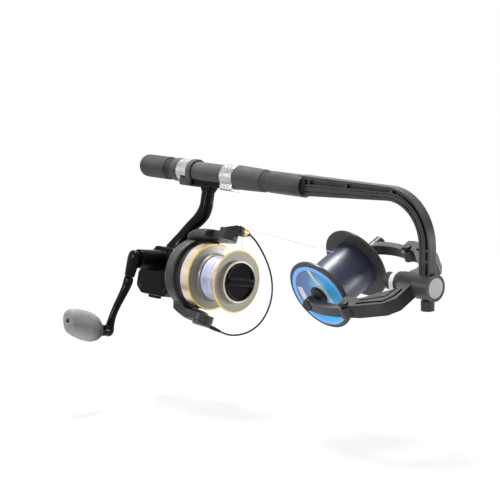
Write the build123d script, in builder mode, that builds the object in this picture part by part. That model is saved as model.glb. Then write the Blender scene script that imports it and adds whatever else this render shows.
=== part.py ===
"""Fishing line winder with a spinning reel in its seat and a filler spool in its fork.

All sizes are millimetres. X runs along the handle, from the butt towards the swinging fork,
and Z is up. The origin lies on the handle's centre line, inside the butt grip.
The reel and the fork are drawn upright in frames of their own and set in place at the end.
"""

import os
from math import atan2, ceil, cos, degrees, hypot, pi, radians, sin, sqrt

from build123d import *

# ---------------------------------------------------------------- fits
slip = 0.3                 # gap between a sliding or turning sleeve and what it goes round
running = 0.06             # radial gap of a shaft in its bearing
seat = 0.02                # gap of two pieces that are fixed together

# ---------------------------------------------------------------- handle
tube_radius = 8.2          # straight tube that everything on the handle sits on
tube_bore = 6.6
tube_start = -6.0
grip_radius = 10.25
grip_start = -11.2
grip_end_round = 8.0
grip_length = 38.0
ring_radius = 9.4
ring_length = 8.2
ring_rib_count = 3
lip_gap = 0.6              # groove between the ribbed ring and the seat tube's lip
lip_length = 8.3
lip_radius = 10.5
seat_radius = 9.2          # dark seat tube, seen between the two hoods
rear_band_length = 13.7
rear_band_radius = 10.5
rear_hood_length = 5.9
rear_hood_radius = 11.2
rear_hood_hold = 9.5       # length of the foot inside the rear hood
rear_pocket_wall = 4.0     # moulding behind the foot's end
front_hood_length = 15.3
front_hood_radius = 10.7
front_hood_hold = 4.3      # length of the foot inside the front hood
foregrip_length = 34.3
foregrip_rear_radius = 10.8
foregrip_front_radius = 9.8
neck_length = 8.3          # bare thread that the foregrip runs out over
thread_pitch = 2.5

# ---------------------------------------------------------------- winder arm
socket_length = 40.4
socket_radius = 9.6
arm_top = 9.5              # outer edge of the arm, level with the top of the socket
arm_depth_at_socket = 17.4
arm_depth = 11.5           # outer to inner edge round the bend
arm_thickness = 8.0
arm_web = 2.4
bend_radius = 45.0         # outer edge of the bend
bend_start = 299.5
hub_radius = 10.75
hub_rim_radius = 11.2
hub_length = 16.8
hub_start = 330.7
hub_drop = 68.0            # swivel axis below the handle axis
cap_radius = 8.35
bolt_radius = 4.0
rib_positions = (208.5, 252.0, 303.0)
thumb_knob_radius = 5.6
thumb_knob_length = 8.5
thumb_screw_radius = 2.5

# ---------------------------------------------------------------- fork
fork_tilt = 25.9           # the fork's arms tip down towards the front
fork_offset = -4.5         # middle of the fork from the swivel axis, along the spool axis
fork_height = 12.3
fork_back = 330.0
fork_back_half = 36.0
fork_wall = 8.2
arm_pivot_x = 289.0
arm_pivot_reach = 41.5     # arm pivots either side of the fork's middle
collar_radius = 9.5
collar_length = 17.0
friction_ring_length = 4.0
friction_ring_radius = 9.0
washer_length = 5.0
washer_radius = 8.5
tension_knob_length = 7.9
tension_knob_radius = 7.2
spool_axis_x = 247.3
extension_height = 9.0
extension_thickness = 6.0
extension_boss_radius = 5.6
pivot_screw_radius = 2.0
pivot_head_radius = 3.4
pivot_head_height = 2.2
spindle_radius = 3.0
cone_radius = 7.4
cone_tip_depth = 2.4       # part of the cone inside the spool's bore
cone_tip_taper = 1.8

# ---------------------------------------------------------------- filler spool
flange_radius = 32.2
flange_thickness = 3.0
front_flange = -33.0       # middle of the front flange along the spool axis
rear_flange = 14.0
filler_barrel_radius = 14.0
filler_bore = 7.0
filler_core_radius = 20.1
filler_wire = 1.3
filler_turns = 18
label_radius = 28.6
label_thickness = 0.4

# ---------------------------------------------------------------- reel
reel_roll = -12.0          # the reel hangs a little towards the front
reel_drop = 90.0           # spool axis below the handle axis
foot_length = 53.0
foot_width = 12.0
foot_height = 2.6
stem_width = 8.0
housing_half = 12.0
housing_wall = 2.2
drive_x = 45.0
drive_height = 6.5         # crank shaft above the spool axis
boss_radius = 8.4
boss_reach = 41.0
crank_shaft_radius = 3.6
drive_gear_radius = 10.8
drive_gear_teeth = 35
pinion_teeth = 7
pinion_radius = 4.2
pinion_bore = 2.7
main_shaft_radius = 2.4
rotor_phase = -12.0
rotor_ring_radius = 31.0
rotor_drum_radius = 26.4
rotor_back = 66.5
rotor_ring_front = 83.0
rotor_arm_width = 18.0
rotor_arm_outer = 40.5
bail_pivot_x = 105.0
bail_angle = 48.0
bail_wire_radius = 0.8
bail_lever_thickness = 3.4
roller_radius = 3.5
roller_length = 5.0
roller_groove = 3.4
groove_depth = 0.5
spool_lip = 133.0          # front edge of the reel spool's lip
spool_lip_radius = 27.5
skirt_front = 101.5
skirt_radius = 29.35
skirt_length = 10.4
skirt_wall = 1.4
reel_core_radius = 18.7
reel_wire = 1.0
reel_turns = 14
nose_radius = 18.75
nose_length = 3.6
drag_knob_radius = 16.7
drag_knob_reach = 6.8
oscillation = 6.0
crank_reach = 68.0
crank_slant = 9.5          # the arm's end stands this much further out than its fold pin
crank_lean = 9.5           # the crank hangs a little behind straight down
fold_reach = 20.0
knob_shaft_radius = 1.8
knob_length = 40.0
knob_width = 29.0
knob_thickness = 22.0
knob_turn = 30.0           # how far the knob's broad side is turned from the arm

# ---------------------------------------------------------------- line
free_line_radius = 0.2

# Stations along the handle, each from the one before
grip_end = grip_start + grip_length
ring_end = grip_end + ring_length
lip_start = ring_end + lip_gap
rear_band_start = lip_start + lip_length
rear_hood_start = rear_band_start + rear_band_length
rear_hood_end = rear_hood_start + rear_hood_length
foot_start = rear_hood_end - rear_hood_hold
foot_end = foot_start + foot_length
foot_middle = (foot_start + foot_end) / 2
pocket_start = foot_start - rear_pocket_wall
front_hood_start = foot_end - front_hood_hold
foregrip_start = front_hood_start + front_hood_length
foregrip_end = foregrip_start + foregrip_length
socket_start = foregrip_end + neck_length
socket_end = socket_start + socket_length
bend_middle = arm_top - bend_radius
leg_outer = bend_start + bend_radius
hub_end = hub_start + hub_length

reel_place = Location((0, 0, 0), (reel_roll, 0, 0)) * Location((0, 0, -reel_drop))
rotor_place = reel_place * Location((0, 0, 0), (rotor_phase, 0, 0))
bail_place = rotor_place * Location((bail_pivot_x, 0, 0), (0, 0, bail_angle))
fork_place = Location((0, 0, -hub_drop), (fork_tilt, 0, 0))
upright = Location()
pieces = []


def keep(piece, name, place=upright):
    """Remember a finished piece, its name and where its frame stands."""
    pieces.append((piece, name, place))


def turned(outline):
    """A piece turned on the X axis from (x, radius) corners."""
    with BuildPart() as piece:
        with BuildSketch(Plane.XZ):
            with BuildLine():
                Polyline(*outline, close=True)
            make_face()
        revolve(axis=Axis.X)
    return piece


def sleeve(start, end, outer, inner):
    """A plain ring on the X axis."""
    return turned([(start, inner), (start, outer), (end, outer), (end, inner)])


# ================================================================ handle
# The straight tube inside the handle, from the butt grip to the arm's socket
with BuildPart() as handle_tube:
    with BuildSketch(Plane.YZ.offset(tube_start)):
        Circle(tube_radius)
        Circle(tube_bore, mode=Mode.SUBTRACT)
    extrude(amount=socket_start + socket_length / 2 - tube_start)
keep(handle_tube, "handle_tube")

# Foam butt grip, closed and rounded at its end
with BuildPart() as butt_grip:
    with BuildSketch(Plane.XZ):
        with BuildLine():
            Polyline(
                (grip_start, 0),
                (grip_start, grip_radius),
                (grip_end, grip_radius),
                (grip_end, tube_radius + seat),
                (tube_start - seat, tube_radius + seat),
                (tube_start - seat, 0),
                close=True,
            )
        make_face()
        fillet(vertices().group_by(Axis.X)[0].sort_by(Axis.Y)[-1], grip_end_round)
    revolve(axis=Axis.X)
keep(butt_grip, "butt_grip")

# Ribbed ring that closes the front of the butt grip
with BuildPart() as grip_ring:
    with BuildSketch(Plane.XZ):
        with Locations(((grip_end + ring_end) / 2, (ring_radius + tube_radius) / 2)):
            Rectangle(ring_length - 2 * seat, ring_radius - tube_radius - 2 * seat)
    revolve(axis=Axis.X)
    rib_pitch = ring_length / (ring_rib_count + 1)
    with BuildSketch(Plane.XZ):
        for rib in range(1, ring_rib_count + 1):
            with Locations((grip_end + rib * rib_pitch, ring_radius)):
                Rectangle(rib_pitch * 0.35, 0.8)
    revolve(axis=Axis.X, mode=Mode.SUBTRACT)
keep(grip_ring, "grip_ring")

# Seat tube: the reel's foot rests on it, its front end carries the thread and its back a lip
with BuildPart() as seat_tube:
    with BuildSketch(Plane.YZ.offset(lip_start)):
        Circle(lip_radius)
    extrude(amount=lip_length)
    fillet(edges(), 0.5)
    with BuildSketch(Plane.YZ.offset(lip_start)):
        Circle(seat_radius)
    extrude(amount=socket_start - lip_start)
    with BuildSketch(Plane.YZ.offset(lip_start)):
        Circle(tube_radius + seat)
    extrude(amount=socket_start - lip_start, mode=Mode.SUBTRACT)
    with BuildSketch(Plane.XZ):
        for turn in range(ceil(neck_length / thread_pitch)):
            with Locations((socket_start - thread_pitch * (turn + 0.5), seat_radius)):
                Rectangle(thread_pitch / 2, 1.0)
    revolve(axis=Axis.X, mode=Mode.SUBTRACT)
keep(seat_tube, "seat_tube")

# Metal band round the back of the seat, cut away under the rear hood's pocket
pocket_width = foot_width + 6
with BuildPart() as rear_band:
    with BuildSketch(Plane.YZ.offset(rear_band_start + seat)):
        Circle(rear_band_radius)
        Circle(seat_radius + seat, mode=Mode.SUBTRACT)
    extrude(amount=rear_band_length - 2 * seat)
    chamfer(edges().group_by(Axis.X)[0].sort_by(SortBy.LENGTH)[-1], 0.5)
    with BuildSketch(Plane.YZ.offset(pocket_start - slip)):
        with Locations(Location((0, 0), reel_roll)):
            with Locations((0, -seat_radius)):
                Rectangle(pocket_width + 2 * slip, 2 * seat_radius)
    extrude(amount=rear_hood_start - pocket_start + slip, mode=Mode.SUBTRACT)
keep(rear_band, "rear_hood_band")

# Fixed rear hood with the pocket that takes the back of the reel's foot
with BuildPart() as rear_hood:
    with BuildSketch(Plane.YZ.offset(rear_hood_start)):
        Circle(rear_hood_radius)
    extrude(amount=rear_hood_length)
    fillet(edges(), 0.8)
    with BuildSketch(Plane.YZ.offset(pocket_start)):
        with Locations(Location((0, 0), reel_roll)):
            with Locations((0, -seat_radius)):
                RectangleRounded(pocket_width, 2 * (foot_height + 1.6), 2.5)
    extrude(amount=rear_hood_end - pocket_start)
    with BuildSketch(Plane.YZ.offset(foot_start - slip)):
        with Locations(Location((0, 0), reel_roll)):
            with Locations((0, -seat_radius)):
                Rectangle(foot_width + 2 * slip, 2 * (foot_height + slip))
    extrude(amount=rear_hood_end - foot_start + 1, mode=Mode.SUBTRACT)
    with BuildSketch(Plane.YZ.offset(pocket_start)):
        Circle(seat_radius + seat)
    extrude(amount=rear_hood_end - pocket_start, mode=Mode.SUBTRACT)
keep(rear_hood, "rear_hood")

# Sliding front hood: a metal band with the front foot pocket in it
hood_bore = seat_radius + slip
with BuildPart() as front_hood:
    with BuildSketch(Plane.YZ.offset(front_hood_start)):
        Circle(front_hood_radius)
    extrude(amount=front_hood_length)
    with BuildSketch(Plane.YZ.offset(front_hood_start)):
        with Locations(Location((0, 0), reel_roll)):
            with Locations((0, -seat_radius)):
                RectangleRounded(foot_width + 4, 2 * (foot_height + 1.4), 2.0)
    extrude(amount=front_hood_length)
    fillet(edges().filter_by(GeomType.CIRCLE).group_by(Axis.X)[-1], 0.5)
    with BuildSketch(Plane.YZ.offset(front_hood_start)):
        with Locations(Location((0, 0), reel_roll)):
            with Locations((0, -seat_radius)):
                Rectangle(foot_width + 2 * slip, 2 * (foot_height + slip))
    extrude(amount=foot_end + slip - front_hood_start, mode=Mode.SUBTRACT)
    with BuildSketch(Plane.YZ.offset(front_hood_start)):
        Circle(hood_bore)
    extrude(amount=front_hood_length, mode=Mode.SUBTRACT)
keep(front_hood, "front_hood_band")

# Foam foregrip: the locking nut that pushes the front hood back
foregrip = turned([
    (foregrip_start + slip, hood_bore),
    (foregrip_start + slip, foregrip_rear_radius - 0.4),
    (foregrip_start + slip + 0.6, foregrip_rear_radius),
    (foregrip_end - 1.2, foregrip_front_radius + 0.1),
    (foregrip_end, foregrip_front_radius - 0.05),
    (foregrip_end, hood_bore),
])
keep(foregrip, "foregrip")

# ================================================================ winder arm
# One moulding: round socket, ribbed arm with a quarter bend, and the swivel hub


def arm_line(share):
    """The arm's outer edge moved inwards by a share of its depth: start, bend ends and foot."""
    offset_at_socket = share * arm_depth_at_socket
    offset_at_bend = share * arm_depth
    radius = bend_radius - offset_at_bend
    return (
        (socket_end - 4, arm_top - offset_at_socket),
        (bend_start, arm_top - offset_at_bend),
        (bend_start + radius * sin(pi / 4), bend_middle + radius * cos(pi / 4)),
        (bend_start + radius, bend_middle),
        (bend_start + radius, -hub_drop),
    )


def arm_band(outer_share, inner_share):
    """Face of a band of the arm between two shares of its depth."""
    outer = arm_line(outer_share)
    inner = arm_line(inner_share)
    with BuildSketch() as band:
        with BuildLine():
            Line(outer[0], outer[1])
            ThreePointArc(outer[1], outer[2], outer[3])
            Line(outer[3], outer[4])
            Line(outer[4], inner[4])
            Line(inner[4], inner[3])
            ThreePointArc(inner[3], inner[2], inner[1])
            Line(inner[1], inner[0])
            Line(inner[0], outer[0])
        make_face()
    return band.sketch


pocket_outer = 0.14        # shares of the arm's depth, from its outer edge
pocket_inner = 0.40
groove_outer = 0.47
groove_inner = 0.53
inner_groove_outer = 0.72
inner_groove_inner = 0.82
pocket_start = socket_end + 2.0
with BuildPart() as winder_arm:
    with BuildSketch(Plane.XZ):
        add(arm_band(0, 1))
    extrude(amount=arm_thickness / 2, both=True)
    for side in (-1, 1):
        face_plane = Plane.XZ.offset(side * arm_thickness / 2)
        with BuildSketch(face_plane):
            add(arm_band(pocket_outer, pocket_inner))
            for position in rib_positions:
                with Locations((position, arm_top - 4)):
                    Rectangle(2.0, 14, mode=Mode.SUBTRACT)
            for drop in (44.0, 53.0):
                with Locations((leg_outer, -drop + 6)):
                    Rectangle(14, 1.8, mode=Mode.SUBTRACT)
            with Locations((pocket_start - 10, 0)):
                Rectangle(20, 30, mode=Mode.SUBTRACT)
        extrude(amount=-side * (arm_thickness - arm_web) / 2, mode=Mode.SUBTRACT)
        for band in ((groove_outer, groove_inner), (inner_groove_outer, inner_groove_inner)):
            with BuildSketch(face_plane):
                add(arm_band(*band))
                with Locations((pocket_start - 10, 0)):
                    Rectangle(20, 30, mode=Mode.SUBTRACT)
            extrude(amount=-side * 1.6, mode=Mode.SUBTRACT)
    with BuildSketch(Plane.YZ.offset(socket_start)):
        Circle(socket_radius)
    extrude(amount=socket_length)
    with BuildSketch(Plane.YZ.offset(socket_start)):
        Circle(tube_radius + seat)
    extrude(amount=socket_length / 2 + 0.5, mode=Mode.SUBTRACT)
    with BuildSketch(Plane.YZ.offset(hub_start)):
        with Locations((0, -hub_drop)):
            Circle(hub_radius)
    extrude(amount=hub_length)
    with BuildSketch(Plane.YZ.offset(hub_end - 2.4)):
        with Locations((0, -hub_drop)):
            Circle(hub_rim_radius)
    extrude(amount=2.4)
    with BuildSketch(Plane.YZ.offset(hub_end - 1.6)):
        with Locations((0, -hub_drop)):
            Circle(cap_radius + seat)
    extrude(amount=1.6, mode=Mode.SUBTRACT)
    with BuildSketch(Plane.YZ.offset(hub_start)):
        with Locations((0, -hub_drop)):
            Circle(bolt_radius + seat)
    extrude(amount=hub_length - 4, mode=Mode.SUBTRACT)
    with BuildSketch(Plane.XY.offset(-hub_drop - hub_radius)):
        with Locations(((hub_start + hub_end) / 2, 0)):
            Circle(thumb_screw_radius + running)
    extrude(amount=hub_radius - bolt_radius - 0.5, mode=Mode.SUBTRACT)
keep(winder_arm, "winder_arm")

# Brushed cap let into the end of the hub
with BuildPart() as hub_cap:
    with BuildSketch(Plane.YZ.offset(hub_end - 1.6 + seat)):
        with Locations((0, -hub_drop)):
            Circle(cap_radius)
    extrude(amount=1.8)
    fillet(edges().group_by(Axis.X)[-1], 0.3)
keep(hub_cap, "hub_cap")

# Swivel bolt, held in the hub: the fork, its washers and the tension knob go on it
bolt_end = fork_back - collar_length - friction_ring_length - washer_length - tension_knob_length + 2
with BuildPart() as swivel_bolt:
    with BuildSketch(Plane.YZ.offset(bolt_end)):
        with Locations((0, -hub_drop)):
            Circle(bolt_radius)
    extrude(amount=hub_end - 4.2 - bolt_end)
keep(swivel_bolt, "swivel_bolt")

# Thumb screw under the hub that locks the swivel
thumb_top = -hub_drop - bolt_radius - 1.2
with BuildPart() as thumb_screw:
    with BuildSketch(Plane.XY.offset(thumb_top)):
        with Locations(((hub_start + hub_end) / 2, 0)):
            Circle(thumb_screw_radius)
    extrude(amount=-(hub_radius - bolt_radius))
    with BuildSketch(Plane.XY.offset(-hub_drop - hub_radius - slip)):
        with Locations(((hub_start + hub_end) / 2, 0)):
            Circle(thumb_knob_radius)
            with PolarLocations(thumb_knob_radius + 0.6, 9):
                Circle(1.2, mode=Mode.SUBTRACT)
    extrude(amount=-thumb_knob_length)
    chamfer(faces().sort_by(Axis.Z)[0].edges(), 0.5)
keep(thumb_screw, "thumb_screw")

# ================================================================ fork
# The fork's frame has its X axis on the swivel and Z square to the arms
pivot_front = fork_offset - arm_pivot_reach
pivot_rear = fork_offset + arm_pivot_reach
cheek_outer = arm_pivot_reach + fork_wall / 2 + 2
cheek_inner = arm_pivot_reach - fork_wall / 2 - 1
cheek_start = arm_pivot_x - extension_boss_radius - 1.5
collar_start = fork_back - collar_length
slot_height = extension_height + 2 * slip

half_outline = (
    (fork_back, 0),
    (fork_back, fork_back_half - 9),
    (fork_back - 7, fork_back_half),
    (arm_pivot_x + 12, cheek_outer - 2.5),
    (arm_pivot_x, cheek_outer),
    (cheek_start, cheek_outer - 1),
    (cheek_start, cheek_inner),
    (arm_pivot_x + 8, cheek_inner - 1.5),
    (collar_start + 7, 15),
    (collar_start + 2, collar_radius),
    (collar_start + 2, 0),
)
with BuildPart() as fork:
    with BuildSketch(Plane.XY.offset(-fork_height / 2)):
        with Locations((0, fork_offset)):
            for side in (-1, 1):
                with BuildLine():
                    Polyline(*[(x, side * y) for x, y in half_outline], close=True)
                make_face()
        corners = vertices().filter_by(lambda v: abs(v.Y - fork_offset) > collar_radius + 1)
        fillet(corners.filter_by(lambda v: v.X > cheek_start + 1), 4.0)
    extrude(amount=fork_height)
    for side in (-1, 1):
        face_plane = Plane.XY.offset(side * fork_height / 2)
        for half in (-1, 1):
            with BuildSketch(face_plane):
                with Locations((0, fork_offset)):
                    with BuildLine():
                        FilletPolyline(
                            (arm_pivot_x + 9, half * (cheek_outer - 5.0)),
                            (fork_back - 9, half * (fork_back_half - 2.5)),
                            (fork_back - 4.0, half * (fork_back_half - 12)),
                            (fork_back - 4.0, half * 15),
                            radius=3.0,
                        )
                    trace(line_width=2.6)
                    with BuildLine():
                        FilletPolyline(
                            (arm_pivot_x + 9, half * (cheek_outer - 9.4)),
                            (fork_back - 12, half * (fork_back_half - 8.5)),
                            (fork_back - 9.5, half * 15),
                            radius=3.0,
                        )
                    trace(line_width=1.8)
            extrude(amount=-side * 4.0, mode=Mode.SUBTRACT)
    # slots that the extension arms turn in, open towards the spool
    for half in (-1, 1):
        with BuildSketch(Plane.XY.offset(-slot_height / 2)):
            with Locations((arm_pivot_x, fork_offset + half * arm_pivot_reach)):
                Circle(extension_boss_radius + slip + 0.4)
            with Locations((cheek_start, fork_offset + half * (arm_pivot_reach + 1))):
                Rectangle(2 * (arm_pivot_x - cheek_start), 2 * (extension_boss_radius + 4))
        extrude(amount=slot_height, mode=Mode.SUBTRACT)
        with BuildSketch(Plane.XY.offset(-fork_height / 2)):
            with Locations((arm_pivot_x, fork_offset + half * arm_pivot_reach)):
                Circle(pivot_screw_radius + seat)
        extrude(amount=fork_height, mode=Mode.SUBTRACT)
    with BuildSketch(Plane.YZ.offset(collar_start)):
        Circle(collar_radius)
    extrude(amount=collar_length)
    with BuildSketch(Plane.YZ.offset(collar_start)):
        Circle(bolt_radius + running)
    extrude(amount=collar_length, mode=Mode.SUBTRACT)
keep(fork, "fork", fork_place)

# Friction ring and nylon washer between the fork's collar and the tension knob
ring_start = collar_start - friction_ring_length
washer_start = ring_start - washer_length
friction_ring = sleeve(ring_start, collar_start, friction_ring_radius, bolt_radius + running)
keep(friction_ring, "friction_ring", fork_place)
washer = sleeve(washer_start, ring_start, washer_radius, bolt_radius + running)
keep(washer, "nylon_washer", fork_place)

# Tension knob on the end of the swivel bolt
knob_end = washer_start - 0.15
knob_start = knob_end - tension_knob_length
with BuildPart() as tension_knob:
    with BuildSketch(Plane.YZ.offset(knob_start)):
        Circle(tension_knob_radius)
        with PolarLocations(tension_knob_radius + 0.5, 12):
            Circle(0.9, mode=Mode.SUBTRACT)
    extrude(amount=tension_knob_length)
    chamfer(faces().sort_by(Axis.X)[0].edges(), 0.5)
    with BuildSketch(Plane.YZ.offset(bolt_end - 0.4)):
        Circle(bolt_radius + running)
    extrude(amount=knob_end - bolt_end + 1, mode=Mode.SUBTRACT)
keep(tension_knob, "tension_knob", fork_place)

# The two extension arms, each with a boss at the pivot and one at the spindle
for side, name in ((-1, "front_arm"), (1, "rear_arm")):
    pivot_y = fork_offset + side * arm_pivot_reach
    bulge = pivot_y + side * 3.0
    with BuildPart() as arm:
        with BuildSketch(Plane.XY.offset(-extension_height / 2)):
            with BuildLine():
                ThreePointArc(
                    (arm_pivot_x, pivot_y),
                    ((arm_pivot_x + spool_axis_x) / 2, bulge),
                    (spool_axis_x, pivot_y),
                )
            trace(line_width=extension_thickness)
            with Locations((arm_pivot_x, pivot_y)):
                Circle(extension_boss_radius)
            with Locations((arm_pivot_x, pivot_y)):
                Circle(pivot_screw_radius + running, mode=Mode.SUBTRACT)
        extrude(amount=extension_height)
        with BuildSketch(Plane.XZ.offset(-pivot_y - extension_thickness / 2)):
            with Locations((spool_axis_x, 0)):
                Circle(extension_boss_radius)
        extrude(amount=extension_thickness)
        with BuildSketch(Plane.XZ.offset(-pivot_y - extension_thickness)):
            with Locations((spool_axis_x, 0)):
                Circle(spindle_radius + (seat if side < 0 else running))
        extrude(amount=2 * extension_thickness, mode=Mode.SUBTRACT)
        with BuildSketch(Plane.XZ.offset(-pivot_y - side * extension_thickness / 2)):
            with Locations((spool_axis_x, 0)):
                Circle(spindle_radius + 3)
        extrude(amount=-side * 4, mode=Mode.SUBTRACT)
    keep(arm, name, fork_place)

# Pivot screws with domed heads, fixed in the fork
for side, name in ((-1, "front_pivot_screw"), (1, "rear_pivot_screw")):
    with BuildPart() as screw:
        with BuildSketch(Plane.XY.offset(-fork_height / 2)):
            with Locations((arm_pivot_x, fork_offset + side * arm_pivot_reach)):
                Circle(pivot_screw_radius)
        extrude(amount=fork_height)
        with BuildSketch(Plane.XY.offset(fork_height / 2)):
            with Locations((arm_pivot_x, fork_offset + side * arm_pivot_reach)):
                Circle(pivot_head_radius)
        extrude(amount=pivot_head_height)
        fillet(edges().group_by(Axis.Z)[-1], 1.2)
    keep(screw, name, fork_place)


def on_spindle(outline):
    """A piece turned on the spool's axis from (radius, y) corners, in the fork's frame."""
    with BuildPart() as piece:
        with BuildSketch(Plane.XY):
            with BuildLine():
                Polyline(*[(spool_axis_x + radius, y) for radius, y in outline], close=True)
            make_face()
        revolve(axis=Axis((spool_axis_x, 0, 0), (0, 1, 0)))
    return piece


# Spindles and the cones that centre the spool on them
front_face = front_flange - flange_thickness / 2
rear_face = rear_flange + flange_thickness / 2
front_spindle_out = pivot_front - extension_thickness / 2 - 1.5
rear_spindle_out = pivot_rear + extension_thickness / 2 + 7
front_cone_out = front_face - 4.5
rear_cone_out = rear_face + 4.5
front_spindle = on_spindle([
    (0, front_spindle_out),
    (spindle_radius + 1.5, front_spindle_out),
    (spindle_radius + 1.5, pivot_front - extension_thickness / 2 - 0.1),
    (spindle_radius, pivot_front - extension_thickness / 2 - 0.1),
    (spindle_radius, front_face + 6),
    (0, front_face + 6),
])
keep(front_spindle, "front_spindle", fork_place)
plunger = on_spindle([
    (0, rear_face - 6),
    (spindle_radius, rear_face - 6),
    (spindle_radius, pivot_rear + extension_thickness / 2 + 0.5),
    (spindle_radius + 2.5, pivot_rear + extension_thickness / 2 + 0.5),
    (spindle_radius + 2.5, rear_spindle_out),
    (0, rear_spindle_out),
])
keep(plunger, "rear_plunger", fork_place)

for out, face, sign, name in (
    (front_cone_out, front_face, -1, "front_cone"),
    (rear_cone_out, rear_face, 1, "rear_cone"),
):
    bore = spindle_radius + running
    cone = on_spindle([
        (bore, out),
        (cone_radius - 2.6, out),
        (cone_radius - 0.7, out - sign * 1.2),
        (cone_radius, out - sign * 3.0),
        (cone_radius, face),
        (filler_bore - seat, face),
        (filler_bore - cone_tip_taper, face - sign * cone_tip_depth),
        (bore, face - sign * cone_tip_depth),
    ])
    keep(cone, name, fork_place)

# Filler spool: two flanges with rounded rims on a barrel
filler_spool = on_spindle([
    (filler_bore, front_face),
    (flange_radius - 0.8, front_face),
    (flange_radius, front_face + 0.8),
    (flange_radius, front_face + flange_thickness - 0.8),
    (flange_radius - 0.8, front_face + flange_thickness),
    (filler_barrel_radius, front_face + flange_thickness + 0.6),
    (filler_barrel_radius, rear_face - flange_thickness - 0.6),
    (flange_radius - 0.8, rear_face - flange_thickness),
    (flange_radius, rear_face - flange_thickness + 0.8),
    (flange_radius, rear_face - 0.8),
    (flange_radius - 0.8, rear_face),
    (filler_bore, rear_face),
])
keep(filler_spool, "filler_spool", fork_place)

# Label ring on the front flange
label = on_spindle([
    (cone_radius + 1.6, front_face - seat),
    (label_radius, front_face - seat),
    (label_radius, front_face - label_thickness),
    (cone_radius + 1.6, front_face - label_thickness),
])
keep(label, "filler_label", fork_place)


# ================================================================ wound line
def biarc(start, start_way, end, end_way):
    """Two arcs that leave start along start_way and reach end along end_way, inside a BuildLine."""
    chord = end - start
    ways = start_way + end_way
    along = chord.dot(ways)
    turn = 2 * (1 - start_way.dot(end_way))
    reach = (sqrt(along * along + turn * chord.dot(chord)) - along) / turn
    middle = (start + end + (start_way - end_way) * reach) * 0.5
    middle_way = (middle - start - start_way * reach).normalized()
    TangentArc(start, middle, tangent=start_way)
    TangentArc(middle, end, tangent=middle_way)


def winding(radius, wire, start, end, turns):
    """One layer of line on a drum round X: a tube that runs square into both ends of the drum."""
    pitch = (end - start - 4 * wire) / turns
    rise = pitch / (2 * pi)
    length = hypot(radius, rise)

    def place(angle):
        return Vector(start + 2 * wire + rise * angle, radius * cos(angle), radius * sin(angle))

    def heading(angle):
        return Vector(rise / length, -radius * sin(angle) / length, radius * cos(angle) / length)

    steps = 4 * turns
    first = Vector(start + wire, radius * cos(-0.09), radius * sin(-0.09))
    last_angle = 2 * pi * turns
    last = Vector(end - wire, radius * cos(last_angle + 0.09), radius * sin(last_angle + 0.09))
    with BuildPart() as piece:
        with BuildLine() as path:
            Line((start, first.Y, first.Z), first)
            biarc(first, Vector(1, 0, 0), place(0), heading(0))
            for step in range(steps):
                here = step * pi / 2
                there = here + pi / 2
                biarc(place(here), heading(here), place(there), heading(there))
            biarc(place(last_angle), heading(last_angle), last, Vector(1, 0, 0))
            Line(last, (end, last.Y, last.Z))
        with BuildSketch(Plane(origin=(start, first.Y, first.Z), z_dir=(1, 0, 0))):
            Circle(wire / 2)
        sweep(path=path.wires()[0])
    print(f"winding: {turns} turns, gap between turns {pitch * radius / length - wire:.2f}")
    return piece


filler_start = front_face + flange_thickness + 0.6
filler_end = rear_face - flange_thickness - 0.6
filler_core = on_spindle([
    (filler_barrel_radius, filler_start + 0.1),
    (filler_core_radius, filler_start + 0.1),
    (filler_core_radius, filler_end - 0.1),
    (filler_barrel_radius, filler_end - 0.1),
])
keep(filler_core, "filler_line_core", fork_place)
filler_layer_place = fork_place * Location((spool_axis_x, 0, 0), (0, 0, 90))
filler_layer = winding(
    filler_core_radius + filler_wire / 2 + 0.05, filler_wire,
    filler_start + 0.4, filler_end - 0.4, filler_turns,
)
keep(filler_layer, "filler_line_turns", filler_layer_place)

# ================================================================ reel
# The reel's frame has its X axis on the spool and Z pointing up to the handle
wall_face = housing_half - housing_wall
housing_outline = (
    (rotor_back - 4.5, -19),
    (rotor_back - 4.5, 19.5),
    (36, 19.5),
    (24, 4),
    (16.5, -7),
    (16.5, -19),
    (24, -25),
    (54, -25),
)
with BuildSketch() as housing_face:
    with BuildLine():
        Polyline(*housing_outline, close=True)
    make_face()
    fillet(housing_face.vertices(), 4.0)
with BuildSketch() as cavity_face:
    add(housing_face.sketch)
    offset(amount=-housing_wall, mode=Mode.REPLACE)

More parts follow.
